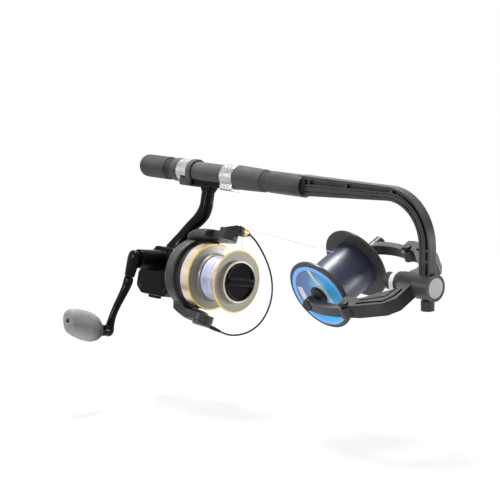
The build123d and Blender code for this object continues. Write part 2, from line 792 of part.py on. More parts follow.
with BuildPart() as housing:
    with BuildSketch(Plane.XZ):
        add(housing_face.sketch)
    extrude(amount=housing_half, both=True)
    with BuildSketch(Plane.XZ):
        with BuildLine():
            Polyline(
                (foot_middle - 4.5, reel_drop - seat_radius - 0.5),
                (foot_middle - 4.5, 57),
                (63, 44),
                (48, 29),
                (38, 15),
                (58, 15),
                (59, 29),
                (67, 38),
                (foot_middle - 1, 50),
                (foot_middle + 4.0, 60),
                (foot_middle + 4.0, reel_drop - seat_radius - 0.5),
                close=True,
            )
        make_face()
        bends = vertices().filter_by(lambda v: 36 < v.Z < 61)
        fillet(bends, 6.0)
    extrude(amount=stem_width / 2, both=True)
    # foot, flared where the stem meets it and hollowed to the seat
    with BuildSketch(Plane.XY.offset(reel_drop - seat_radius - foot_height)):
        with Locations((foot_middle, 0)):
            RectangleRounded(foot_length, foot_width, 4.0)
    extrude(amount=foot_height + 2.4)
    with BuildSketch(Plane.XY.offset(reel_drop - seat_radius - foot_height)):
        with Locations((foot_middle, 0)):
            RectangleRounded(16, foot_width - 1, 3.0)
    with BuildSketch(Plane.XY.offset(reel_drop - seat_radius - foot_height - 7)):
        with Locations((foot_middle - 0.3, 0)):
            RectangleRounded(8.4, stem_width - 0.2, 2.0)
    loft()
    with BuildSketch(Plane.YZ.offset(foot_start - 1)):
        with Locations((0, reel_drop)):
            Circle(seat_radius + seat)
    extrude(amount=foot_length + 2, mode=Mode.SUBTRACT)
    # gear room, open on the cover's side, and the bearing nose for the rotor
    with BuildSketch(Plane.XZ.offset(-wall_face)):
        add(cavity_face.sketch)
    extrude(amount=wall_face + housing_half + 1, mode=Mode.SUBTRACT)
    with BuildSketch(Plane.YZ.offset(rotor_back - 4.6)):
        Circle(12.0)
    extrude(amount=4.2)
    with BuildSketch(Plane.YZ.offset(rotor_back - 4.6 - housing_wall)):
        Circle(pinion_radius + running)
    extrude(amount=10, mode=Mode.SUBTRACT)
    with BuildSketch(Plane.XY.offset(-26)):
        with Locations((32.0, 0)):
            Circle(1.6 + running)
    extrude(amount=2.6, mode=Mode.SUBTRACT)
    with BuildSketch(Plane.XZ.offset(-housing_half + housing_wall)):
        with Locations((drive_x, drive_height)):
            Circle(crank_shaft_radius + 2.5)
    extrude(amount=2.5)
    with BuildSketch(Plane.XZ.offset(-housing_half + 1)):
        with Locations((drive_x, drive_height)):
            Circle(crank_shaft_radius + running)
    extrude(amount=8, mode=Mode.SUBTRACT)
keep(housing, "reel_housing", reel_place)

# Side cover with the long boss that the crank shaft runs in
cover_screw_places = ((22, -19), (56, -19), (56, 14))
with BuildPart() as side_cover:
    with BuildSketch(Plane.XZ.offset(housing_half + seat)):
        add(housing_face.sketch)
    extrude(amount=2.4)
    fillet(faces().sort_by(Axis.Y)[0].edges(), 1.4)
    with BuildSketch(Plane.XZ.offset(housing_half + 2)):
        with Locations((drive_x, drive_height)):
            Circle(boss_radius + 1.4)
    with BuildSketch(Plane.XZ.offset(boss_reach)):
        with Locations((drive_x, drive_height)):
            Circle(boss_radius)
    loft()
    fillet(faces().sort_by(Axis.Y)[0].edges(), 1.0)
    with BuildSketch(Plane.XZ.offset(housing_half - 1)):
        with Locations((drive_x, drive_height)):
            Circle(crank_shaft_radius + running)
    extrude(amount=boss_reach, mode=Mode.SUBTRACT)
    with BuildSketch(Plane.XZ.offset(housing_half + 1.4)):
        with Locations(*cover_screw_places):
            Circle(2.0 + seat)
    extrude(amount=4, mode=Mode.SUBTRACT)
keep(side_cover, "side_cover", reel_place)

with BuildPart() as cover_screws:
    with BuildSketch(Plane.XZ.offset(housing_half + 1.4 + seat)):
        with Locations(*cover_screw_places):
            Circle(2.0)
    extrude(amount=1.3)
    with BuildSketch(Plane.XZ.offset(housing_half + 2.3)):
        with Locations(*cover_screw_places):
            Rectangle(2.8, 0.6)
            Rectangle(0.6, 2.8)
    extrude(amount=1.0, mode=Mode.SUBTRACT)
keep(cover_screws, "cover_screws", reel_place)

# Main shaft: slides to and fro through the pinion and carries the spool
shaft_start = 26.2
shaft_end = spool_lip + drag_knob_reach - 2.0
support_disc = 94.5 + oscillation - 3.0
with BuildPart() as main_shaft:
    with BuildSketch(Plane.YZ.offset(shaft_start + oscillation)):
        Circle(main_shaft_radius)
    extrude(amount=shaft_end - shaft_start - oscillation)
    with BuildSketch(Plane.YZ.offset(support_disc)):
        Circle(8.0)
    extrude(amount=1.6)
keep(main_shaft, "main_shaft", reel_place)

# Slider block that drives the shaft to and fro
with BuildPart() as slider:
    with BuildSketch(Plane.YZ.offset(shaft_start + oscillation + 0.4)):
        RectangleRounded(8, 6.6, 1.0)
        Circle(main_shaft_radius + seat, mode=Mode.SUBTRACT)
    extrude(amount=4)
keep(slider, "slider_block", reel_place)


def toothed(root, tip, teeth, plane, length, bore):
    """A gear on the given plane: a root disc with straight teeth, drawn length deep."""
    with BuildPart() as gear:
        with BuildSketch(plane):
            Circle(root)
            with PolarLocations((root + tip) / 2 - 0.2, teeth):
                Rectangle(tip - root + 0.4, pi * tip / teeth * 0.8)
            Circle(bore, mode=Mode.SUBTRACT)
        extrude(amount=length)
    return gear


# Crank shaft with its face gear, and the pinion that the rotor is fixed to
gear_face = -5.4
with BuildPart() as crank_shaft:
    with BuildSketch(Plane.XZ.offset(-wall_face + 0.3)):
        with Locations((drive_x, drive_height)):
            Circle(crank_shaft_radius)
    extrude(amount=boss_reach + 4 + wall_face - 0.3)
keep(crank_shaft, "crank_shaft", reel_place)
with BuildPart() as drive_gear:
    with BuildSketch(Plane.XZ.offset(-gear_face)):
        with Locations((drive_x, drive_height)):
            Circle(drive_gear_radius)
            Circle(crank_shaft_radius + seat, mode=Mode.SUBTRACT)
    extrude(amount=2.2)
    with BuildSketch(Plane.XZ.offset(-gear_face)):
        with Locations((drive_x, drive_height)):
            with PolarLocations(drive_gear_radius - 1.9, drive_gear_teeth):
                Rectangle(3.4, 0.9)
    extrude(amount=-1.1)
keep(drive_gear, "drive_gear", reel_place)
pinion = toothed(
    pinion_radius - 1.1, pinion_radius - 0.1, pinion_teeth,
    Plane.YZ.offset(drive_x + crank_shaft_radius + 0.8), rotor_back - 8 - drive_x - crank_shaft_radius,
    pinion_bore,
)
with BuildPart() as pinion_sleeve:
    add(pinion.part)
    with BuildSketch(Plane.YZ.offset(rotor_back - 8)):
        Circle(pinion_radius)
        Circle(pinion_bore, mode=Mode.SUBTRACT)
    extrude(amount=14)
keep(pinion_sleeve, "pinion", rotor_place)

# Rotor: ring, drum inside the spool's skirt, and the two arms that carry the bail
drum_front = 90.0
with BuildPart() as rotor:
    with BuildSketch(Plane.XZ):
        with BuildLine():
            Polyline(
                (rotor_back, pinion_radius + seat),
                (rotor_back, 22),
                (rotor_back + 5, rotor_ring_radius - 1),
                (rotor_back + 7, rotor_ring_radius),
                (rotor_ring_front - 1, rotor_ring_radius),
                (rotor_ring_front, rotor_ring_radius - 1),
                (rotor_ring_front, rotor_drum_radius),
                (drum_front, rotor_drum_radius),
                (drum_front, rotor_drum_radius - 2.5),
                (rotor_back + 6, rotor_drum_radius - 2.5),
                (rotor_back + 6, pinion_radius + seat),
                close=True,
            )
        make_face()
    revolve(axis=Axis.X)
    for side in (-1, 1):
        with BuildSketch(Plane.XZ) as arm_side:
            with BuildLine():
                Polyline(
                    (rotor_back + 3.5, side * 28),
                    (rotor_back + 6.5, side * 35),
                    (rotor_back + 15, side * 38.5),
                    (bail_pivot_x - 12, side * (rotor_arm_outer - 0.2)),
                    (bail_pivot_x - 8, side * rotor_arm_outer),
                    (bail_pivot_x + 9, side * rotor_arm_outer),
                    (bail_pivot_x + 9, side * 34.5),
                    (rotor_ring_front + 6, side * 32.6),
                    (rotor_ring_front, side * 30),
                    (rotor_ring_front, side * 28),
                    close=True,
                )
            make_face()
        extrude(amount=rotor_arm_width / 2, both=True)
    with BuildSketch(Plane.XY.offset(-50)):
        with Locations((bail_pivot_x, 0)):
            Circle(rotor_arm_width / 2)
        with Locations(((rotor_back + bail_pivot_x) / 2 - 2, 0)):
            Rectangle(bail_pivot_x - rotor_back + 4, rotor_arm_width)
        with Locations(((rotor_back + rotor_ring_front) / 2 - 2, 0)):
            Rectangle(rotor_ring_front - rotor_back + 16, 70)
    extrude(amount=100, mode=Mode.INTERSECT)
    with BuildSketch(Plane.XY.offset(-50)):
        with Locations((bail_pivot_x, 0)):
            Circle(1.6 + running)
    extrude(amount=100, mode=Mode.SUBTRACT)
keep(rotor, "rotor", rotor_place)

# Nut that holds the rotor on the pinion
with BuildPart() as rotor_nut:
    with BuildSketch(Plane.YZ.offset(rotor_back + 6 + seat)):
        RegularPolygon(6.5, 6)
        Circle(pinion_bore, mode=Mode.SUBTRACT)
    extrude(amount=3.0)
    with BuildSketch(Plane.YZ.offset(rotor_back + 6)):
        Circle(pinion_radius + seat)
    extrude(amount=1.6, mode=Mode.SUBTRACT)
keep(rotor_nut, "rotor_nut", rotor_place)

# ---------------------------------------------------------------- bail
# The bail's frame stands on its pivot, with X towards the middle of the wire loop
lever_seat = rotor_arm_outer + slip
lever_top = lever_seat + bail_lever_thickness
wire_start = (11.0, -43.4)
wire_heading = -8.0
holder_length = 5.0
holder_radius = 1.75
corner_radius = 18.0
corner_turn = 62.0
loop_radius = 50.0
loop_turn = 90.0
cover_length = 1.2
ear_gap = 0.25


def along(start, heading, distance):
    """Point at a distance from start on a heading in degrees."""
    return (
        start[0] + distance * cos(radians(heading)),
        start[1] + distance * sin(radians(heading)),
    )


def after_arc(start, heading, radius, turn):
    """End of a left-hand arc from start."""
    return (
        start[0] + radius * (sin(radians(heading + turn)) - sin(radians(heading))),
        start[1] + radius * (cos(radians(heading)) - cos(radians(heading + turn))),
    )


wire_bend = along(wire_start, wire_heading, 13.3)
wire_side = after_arc(wire_bend, wire_heading, corner_radius, corner_turn)
side_heading = wire_heading + corner_turn
wire_top = after_arc(wire_side, side_heading, loop_radius, loop_turn)
top_heading = side_heading + loop_turn

# The line roller lies across the rotor, so its axis is turned out of the wire loop's plane
roller_middle = Vector(12.5, 0, 45.5)
roller_way = Vector(cos(radians(90 - bail_angle)), sin(radians(90 - bail_angle)), 0)
roller_far = roller_middle + roller_way * (roller_length / 2)
roller_near = roller_middle - roller_way * (roller_length / 2)
cover_face = roller_far + roller_way * ear_gap
wire_end = cover_face + roller_way * (cover_length + 5.0)
ear_face = roller_near - roller_way * ear_gap


def heading_plane(point, heading):
    """Plane square to a heading in the bail's XZ plane."""
    way = (cos(radians(heading)), 0, sin(radians(heading)))
    return Plane(origin=(point[0], 0, point[1]), x_dir=(0, 1, 0), z_dir=way)


def roller_plane(point):
    """Plane square to the roller's axis, facing along it."""
    return Plane(origin=point, x_dir=(0, 0, 1), z_dir=roller_way)


with BuildPart() as bail_wire:
    with BuildLine(Plane.XZ) as wire_path:
        Line(wire_start, wire_bend)
        JernArc(wire_bend, (cos(radians(wire_heading)), sin(radians(wire_heading))),
                corner_radius, corner_turn)
        JernArc(wire_side, (cos(radians(side_heading)), sin(radians(side_heading))),
                loop_radius, loop_turn)
    with BuildLine() as wire_tail:
        top_way = Vector(cos(radians(top_heading)), 0, sin(radians(top_heading)))
        biarc(Vector(wire_top[0], 0, wire_top[1]), top_way, wire_end, roller_way * -1)
        Line(wire_end, cover_face + roller_way * cover_length)
    with BuildSketch(heading_plane(wire_start, wire_heading)):
        Circle(bail_wire_radius)
    sweep(path=wire_path.wires()[0])
    with BuildSketch(heading_plane(wire_top, top_heading)):
        Circle(bail_wire_radius)
    sweep(path=wire_tail.wires()[0])
    with BuildSketch(heading_plane(wire_start, wire_heading + 180)):
        Circle(bail_wire_radius + 0.3)
    with BuildSketch(heading_plane(along(wire_start, wire_heading, -holder_length), wire_heading + 180)):
        Circle(holder_radius)
    loft()
    with BuildSketch(roller_plane(cover_face)):
        Circle(roller_radius - 0.4)
    with BuildSketch(roller_plane(cover_face + roller_way * (cover_length + 2))):
        Circle(bail_wire_radius + 0.3)
    loft()
    with BuildSketch(roller_plane(ear_face - roller_way * 2.6)):
        Circle(1.0)
    extrude(amount=2.6 + 2 * ear_gap + roller_length + 0.5)
keep(bail_wire, "bail_wire", bail_place)

with BuildPart() as line_roller:
    with BuildSketch(roller_plane(roller_near)):
        Circle(roller_radius)
    extrude(amount=roller_length)
    with BuildSketch(roller_plane(roller_middle - roller_way * (roller_groove / 2))):
        Circle(roller_radius + 1)
        Circle(roller_radius - groove_depth, mode=Mode.SUBTRACT)
    extrude(amount=roller_groove, mode=Mode.SUBTRACT)
    with BuildSketch(roller_plane(roller_near)):
        Circle(1.0 + running)
    extrude(amount=roller_length, mode=Mode.SUBTRACT)
keep(line_roller, "line_roller", bail_place)

ear_radius = 4.4
ear_thickness = 3.2
ear_angle = degrees(atan2(ear_face.Y, ear_face.X))
with BuildPart() as upper_lever:
    with BuildSketch(Plane.XY.offset(lever_seat)):
        Circle(8.5)
        with Locations(Location((ear_face.X, ear_face.Y), 90 - bail_angle)):
            with Locations((-ear_thickness / 2, 0)):
                Rectangle(ear_thickness, 2 * ear_radius)
        make_hull()
    extrude(amount=bail_lever_thickness)
    with BuildSketch(Plane.XZ.rotated((0, 0, ear_angle))):
        with BuildLine():
            Polyline(
                (-5.5, lever_top - 1),
                (-5.0, lever_top + 0.4),
                (5.5, roller_middle.Z + ear_radius - 0.6),
                (9.5, roller_middle.Z + ear_radius - 0.6),
                (9.5, lever_top - 1),
                close=True,
            )
        make_face()
    extrude(amount=4.0, both=True)
    with BuildSketch(roller_plane(ear_face)):
        Circle(ear_radius)
        with Locations(((lever_top - roller_middle.Z) / 2 - 1, 0)):
            Rectangle(roller_middle.Z - lever_top + 2, 2 * ear_radius)
    extrude(amount=-ear_thickness)
    with BuildSketch(roller_plane(ear_face)):
        with Locations((0, 0)):
            Rectangle(30, 30)
    extrude(amount=12, mode=Mode.SUBTRACT)
    with BuildSketch(roller_plane(ear_face)):
        Circle(1.0 + seat)
    extrude(amount=-3.0, mode=Mode.SUBTRACT)
keep(upper_lever, "upper_bail_arm", bail_place)

with BuildPart() as lower_lever:
    with BuildSketch(Plane.XY.offset(-lever_seat)):
        Circle(8.5)
        with BuildLine():
            Polyline((0, -8.4), (7, -4.0), (7, 4.0), (0, 8.4), close=True)
        make_face()
    extrude(amount=-bail_lever_thickness)
    fillet(faces().sort_by(Axis.Z)[0].edges(), 1.2)
    with BuildSketch(heading_plane(wire_start, wire_heading + 180)):
        Circle(holder_radius + seat)
    extrude(amount=holder_length + seat, mode=Mode.SUBTRACT)
keep(lower_lever, "lower_bail_arm", bail_place)

# Pivot screws of the bail, fixed in the levers and turning in the rotor's arms
with BuildPart() as bail_pivots:
    for side in (-1, 1):
        with BuildSketch(Plane.XY.offset(side * 36)):
            Circle(1.6)
        extrude(amount=side * (lever_seat - 36))
keep(bail_pivots, "bail_pivots", bail_place)

# ---------------------------------------------------------------- reel spool
spool_bore = main_shaft_radius + running
line_start = 107.0
line_end = spool_lip - 2.2
reel_arbor = 15.5
reel_spool = turned([
    (support_disc + 1.7, spool_bore),
    (support_disc + 1.7, 9),
    (skirt_front - 1.6, 14),
    (skirt_front - 1.6, skirt_radius - skirt_wall - seat),
    (skirt_front, skirt_radius - skirt_wall - seat),
    (skirt_front + 0.6, skirt_radius - 1.0),
    (skirt_front + 1.8, 21.5),
    (line_start, 21.0),
    (line_start, reel_arbor),
    (line_end, reel_arbor),
    (line_end, spool_lip_radius - 2.4),
    (spool_lip - 1.3, spool_lip_radius - 1.0),
    (spool_lip - 0.2, spool_lip_radius - 1.0),
    (spool_lip - 0.2, nose_radius + seat),
    (spool_lip - 1.4, nose_radius + seat),
    (spool_lip - 1.4, spool_bore),
])
keep(reel_spool, "reel_spool", reel_place)
skirt = turned([
    (skirt_front - skirt_length, skirt_radius - skirt_wall),
    (skirt_front - skirt_length, skirt_radius - 0.3),
    (skirt_front - skirt_length + 0.4, skirt_radius),
    (skirt_front - 0.9, skirt_radius),
    (skirt_front - 0.9, skirt_radius - skirt_wall),
])
keep(skirt, "spool_skirt", reel_place)
rear_rim = turned([
    (skirt_front - 0.9 + seat, skirt_radius - skirt_wall),
    (skirt_front - 0.9 + seat, skirt_radius + 0.3),
    (skirt_front + 0.1, skirt_radius + 0.3),
    (skirt_front + 0.5, skirt_radius - 0.2),
    (skirt_front + 0.5, skirt_radius - 0.95),
    (skirt_front, skirt_radius - skirt_wall),
])
keep(rear_rim, "rear_spool_rim", reel_place)
front_rim = turned([
    (spool_lip - 1.3, spool_lip_radius - 1.0 + seat),
    (spool_lip - 1.3, spool_lip_radius - 0.2),
    (spool_lip - 0.9, spool_lip_radius),
    (spool_lip - 0.4, spool_lip_radius),
    (spool_lip, spool_lip_radius - 0.5),
    (spool_lip, spool_lip_radius - 1.0 + seat),
])
keep(front_rim, "front_spool_rim", reel_place)
nose_ring = turned([
    (spool_lip - 1.4 + seat, drag_knob_radius + slip),
    (spool_lip - 1.4 + seat, nose_radius),
    (spool_lip + nose_length - 0.8, nose_radius),
    (spool_lip + nose_length, nose_radius - 0.8),
    (spool_lip + nose_length, drag_knob_radius + slip),
])
keep(nose_ring, "nose_ring", reel_place)
reel_core = sleeve(line_start + 0.05, line_end - 0.05, reel_core_radius, reel_arbor)
keep(reel_core, "reel_line_core", reel_place)
reel_layer = winding(
    reel_core_radius + reel_wire / 2 + 0.05, reel_wire,
    line_start + 0.05, line_end - 0.05, reel_turns,
)
keep(reel_layer, "reel_line_turns", reel_place)

# Front drag knob with its raised grip bar
knob_face = spool_lip + drag_knob_reach
with BuildPart() as drag_knob:
    with BuildSketch(Plane.YZ.offset(spool_lip - 1.0)):
        Circle(drag_knob_radius)
    extrude(amount=drag_knob_reach - 0.8)
    with BuildSketch(Plane.YZ.offset(knob_face - 3.4)):
        Circle(drag_knob_radius - 1.6)
        SlotOverall(2 * drag_knob_radius - 1, 6.4, mode=Mode.SUBTRACT)
    extrude(amount=3.4, mode=Mode.SUBTRACT)
    with BuildSketch(Plane.YZ.offset(knob_face - 3.4)):
        SlotOverall(2 * drag_knob_radius - 5, 4.6)
    extrude(amount=3.4)
    with BuildSketch(Plane.YZ.offset(spool_lip - 2)):
        Circle(main_shaft_radius + running)
    extrude(amount=shaft_end + 0.2 - spool_lip + 2, mode=Mode.SUBTRACT)
keep(drag_knob, "drag_knob", reel_place)

# ---------------------------------------------------------------- crank
# The crank's frame stands on the crank shaft, with the arm hanging down Z
crank_place = reel_place * Location((drive_x, 0, drive_height), (0, crank_lean, 0))
crank_inner = -boss_reach - slip
crank_outer = crank_inner - 8.0
with BuildPart() as crank_root:
    with BuildSketch(Plane.XZ.offset(-crank_inner)):
        Circle(6.4)
        with BuildLine():
            Polyline((-6.2, 0), (-4.6, -fold_reach + 4.6), (4.6, -fold_reach + 4.6), (6.2, 0), close=True)
        make_face()
    extrude(amount=8.0)
    fillet(faces().sort_by(Axis.Y)[0].edges(), 2.0)
    with BuildSketch(Plane.YZ.offset(-1.8)):
        with Locations(((crank_inner + crank_outer) / 2, -fold_reach)):
            Circle(3.2)
        with Locations(((crank_inner + crank_outer) / 2, -fold_reach + 3)):
            Rectangle(6.4, 6)
    extrude(amount=3.6)
    with BuildSketch(Plane.XZ.offset(-crank_inner - 1)):
        Circle(crank_shaft_radius + seat)
    extrude(amount=5.0, mode=Mode.SUBTRACT)
    with BuildSketch(Plane.YZ.offset(-6)):
        with Locations(((crank_inner + crank_outer) / 2, -fold_reach)):
            Circle(1.2 + running)
    extrude(amount=12, mode=Mode.SUBTRACT)
keep(crank_root, "crank_root", crank_place)

# The arm leans outwards between its fold pin and the knob, clear of the bail's sweep
arm_middle = (crank_inner + crank_outer) / 2
arm_end = arm_middle - crank_slant
arm_half = 3.2
with BuildPart() as crank_arm:
    with BuildSketch(Plane.YZ.offset(-4.4)):
        with BuildLine():
            Polyline(
                (arm_middle + arm_half, -fold_reach),
                (arm_middle + arm_half, -fold_reach - 8),
                (arm_end + arm_half, -crank_reach + 7),
                (arm_end + arm_half, -crank_reach - 5),
                (arm_end - arm_half, -crank_reach - 5),
                (arm_end - arm_half, -crank_reach + 7),
                (arm_middle - arm_half, -fold_reach - 8),
                (arm_middle - arm_half, -fold_reach),
                close=True,
            )
        make_face()
    extrude(amount=8.8)
    with BuildSketch(Plane.XZ.offset(-arm_middle - 4)):
        with BuildLine():
            Polyline(
                (-4.4, -fold_reach),
                (-4.2, -fold_reach - 14),
                (-3.2, -crank_reach),
                (3.2, -crank_reach),
                (4.2, -fold_reach - 14),
                (4.4, -fold_reach),
                close=True,
            )
        make_face()
        with Locations((0, -crank_reach)):
            Circle(4.4)
    extrude(amount=crank_slant + 8, mode=Mode.INTERSECT)
    with BuildSketch(Plane.YZ.offset(-4.4)):
        with Locations((arm_middle, -fold_reach)):
            Circle(arm_half)
    extrude(amount=8.8)
    with BuildSketch(Plane.YZ.offset(-2.1)):
        with Locations((arm_middle, -fold_reach + 0.5)):
            Rectangle(9, 8.5)
    extrude(amount=4.2, mode=Mode.SUBTRACT)
    with BuildSketch(Plane.YZ.offset(-6)):
        with Locations((arm_middle, -fold_reach)):
            Circle(1.2 + seat)
    extrude(amount=12, mode=Mode.SUBTRACT)
    with BuildSketch(Plane.XZ.offset(-arm_end - 4)):
        with Locations((0, -crank_reach)):
            Circle(knob_shaft_radius + seat)
    extrude(amount=8, mode=Mode.SUBTRACT)
keep(crank_arm, "crank_arm", crank_place)

with BuildPart() as fold_pin:
    with BuildSketch(Plane.YZ.offset(-4.4)):
        with Locations((arm_middle, -fold_reach)):
            Circle(1.2)
    extrude(amount=8.8)
keep(fold_pin, "fold_pin", crank_place)

knob_inner = -64.0
knob_outer = knob_inner - knob_length
with BuildPart() as knob_spindle:
    with BuildSketch(Plane.XZ.offset(-arm_end - arm_half)):
        with Locations((0, -crank_reach)):
            Circle(knob_shaft_radius)
    extrude(amount=arm_end + arm_half - knob_outer - 6)
    with BuildSketch(Plane.XZ.offset(-arm_end + arm_half + seat)):
        with Locations((0, -crank_reach)):
            Circle(knob_shaft_radius + 1.6)
    extrude(amount=4.0)
keep(knob_spindle, "knob_spindle", crank_place)
with BuildPart() as crank_knob:
    for reach, width, thickness in (
        (0.0, 9.0, 9.0), (0.12, 14.0, 12.0), (0.45, knob_width - 2, knob_thickness - 1),
        (0.72, knob_width, knob_thickness), (0.93, knob_width - 8, knob_thickness - 5),
        (1.0, knob_width - 16, knob_thickness - 12),
    ):
        with BuildSketch(Plane.XZ.offset(-knob_inner + reach * knob_length)):
            with Locations(Location((0, -crank_reach), knob_turn)):
                Ellipse(thickness / 2, width / 2)
    loft()
    with BuildSketch(Plane.XZ.offset(-knob_inner - 1)):
        with Locations((0, -crank_reach)):
            Circle(knob_shaft_radius + running)
    extrude(amount=knob_length - 4.5, mode=Mode.SUBTRACT)
keep(crank_knob, "crank_knob", crank_place)

# ---------------------------------------------------------------- small levers and springs
# Anti-reverse lever under the reel's housing
lever_x = 32.0
with BuildPart() as reverse_lever:
    with BuildSketch(Plane.XY.offset(-25 - slip)):
        with Locations((lever_x - 4, 0)):
            SlotOverall(15, 6)
    extrude(amount=-3.2)
    fillet(edges().group_by(Axis.Z)[0], 0.8)
    with BuildSketch(Plane.XY.offset(-25 - slip - 1)):
        with Locations((lever_x, 0)):
            Circle(1.6)
    extrude(amount=2.6)
keep(reverse_lever, "anti_reverse_lever", reel_place)

# Spring that pushes the rear cone into the filler spool
spring_start = rear_cone_out
spring_end = pivot_rear - extension_thickness / 2
plunger_spring = winding(4.5, 0.9, spring_start, spring_end, 5)
keep(plunger_spring, "plunger_spring", fork_place * Location((spool_axis_x, 0, 0), (0, 0, 90)))

# ================================================================ free line
# From the filler spool, over the line roller and down to the reel spool, pulled straight
line_start = Vector(245.4, -12.3, -49.5)
line_end = Vector(118.0, 1.6, -90.6)
line_bend = roller_radius - groove_depth + free_line_radius + 0.3
line_middle = (bail_place * Location(roller_middle)).position
line_across = (line_start - line_middle).cross(line_end - line_middle).normalized()


def touch_point(outside, side):
    """Where a straight run from outside touches the bend round the roller."""
    reach = outside - line_middle
    along_reach = line_bend**2 / reach.length**2
    off_reach = line_bend * (reach.length**2 - line_bend**2) ** 0.5 / reach.length**2
    return line_middle + reach * along_reach + line_across.cross(reach) * (side * off_reach)


bend_start = touch_point(line_start, -1)
bend_end = touch_point(line_end, 1)
bend_way = (bend_start + bend_end - line_middle * 2).normalized()
with BuildPart() as free_line:
    with BuildLine() as line_path:
        Line(line_start, bend_start)
        ThreePointArc(bend_start, line_middle + bend_way * line_bend, bend_end)
        Line(bend_end, line_end)
    with BuildSketch(Plane(origin=line_start, z_dir=bend_start - line_start)):
        Circle(free_line_radius)
    sweep(path=line_path.wires()[0])
keep(free_line, "free_line")
for name, point in (("start", line_start), ("bend start", bend_start), ("bend end", bend_end), ("end", line_end)):
    print("free line", name, [round(value, 3) for value in point])
print("free line bend radius", round(line_bend, 2), "round", [round(value, 3) for value in line_middle])

# ================================================================ output
os.makedirs("parts", exist_ok=True)
for piece, name, place in pieces:
    piece.part = piece.part.moved(place)
    piece.part.label = name
    export_step(piece.part, f"parts/{name}.step")
print(f"{len(pieces)} pieces")
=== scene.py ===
# Fishing line winder: a foam-gripped handle with a reel seat, an arched arm and a fork
# that holds a filler spool, with a spinning reel clamped on and the line led across.
from math import cos, pi, radians, sin

import bpy
from mathutils import Matrix, Vector


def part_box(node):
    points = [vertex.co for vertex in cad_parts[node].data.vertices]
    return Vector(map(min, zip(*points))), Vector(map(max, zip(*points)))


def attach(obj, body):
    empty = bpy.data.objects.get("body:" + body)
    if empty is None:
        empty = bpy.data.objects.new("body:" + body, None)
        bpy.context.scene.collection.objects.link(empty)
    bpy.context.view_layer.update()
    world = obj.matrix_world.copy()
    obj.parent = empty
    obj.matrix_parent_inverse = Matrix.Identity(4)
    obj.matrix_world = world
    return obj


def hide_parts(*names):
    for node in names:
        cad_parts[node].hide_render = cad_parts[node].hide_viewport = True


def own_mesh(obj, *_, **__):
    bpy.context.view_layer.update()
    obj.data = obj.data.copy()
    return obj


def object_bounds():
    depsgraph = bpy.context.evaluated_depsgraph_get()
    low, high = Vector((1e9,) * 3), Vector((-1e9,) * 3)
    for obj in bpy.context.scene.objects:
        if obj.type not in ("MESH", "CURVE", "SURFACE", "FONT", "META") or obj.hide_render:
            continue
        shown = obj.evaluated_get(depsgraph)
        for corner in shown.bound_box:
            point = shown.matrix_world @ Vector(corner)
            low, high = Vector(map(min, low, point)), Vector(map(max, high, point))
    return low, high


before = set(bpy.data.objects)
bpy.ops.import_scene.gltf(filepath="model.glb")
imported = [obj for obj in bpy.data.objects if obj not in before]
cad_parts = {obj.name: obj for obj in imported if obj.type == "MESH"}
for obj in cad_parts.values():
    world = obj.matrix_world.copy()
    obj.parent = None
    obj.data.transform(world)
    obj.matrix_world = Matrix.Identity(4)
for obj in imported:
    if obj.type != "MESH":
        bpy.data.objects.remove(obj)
cad_box = [[float(x) for x in corner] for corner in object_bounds()]

# ---------------------------------------------------------------- camera
# A long lens, a little above the handle and to one side of it. The object hangs clear of
# the floor, as it does in a hand.
turn, rise, roll = radians(47.4), radians(10.0), radians(-0.9)
level = Vector((cos(turn), sin(turn), 0))
raised = Vector((-sin(turn) * sin(rise), cos(turn) * sin(rise), cos(rise)))
away = Vector((sin(turn) * cos(rise), -cos(turn) * cos(rise), sin(rise)))
across = level * cos(roll) + raised * sin(roll)
upward = raised * cos(roll) - level * sin(roll)
lens = bpy.data.cameras.new("photo_camera")
lens.lens = 144
lens.sensor_width = 36
lens.clip_end = 60
camera = bpy.data.objects.new("photo_camera", lens)
handle_spot = Vector((0.11535, 0, 0))
to_right, downward, distance = 0.01093, 0.06364, 1.74825
place = handle_spot + across * to_right - upward * downward + away * distance
camera.matrix_world = Matrix((
    (across.x, upward.x, away.x, place.x),
    (across.y, upward.y, away.y, place.y),
    (across.z, upward.z, away.z, place.z),
    (0, 0, 0, 1),
))
bpy.context.scene.collection.objects.link(camera)
bpy.context.scene.camera = camera
bpy.context.scene.view_settings.view_transform = "Standard"


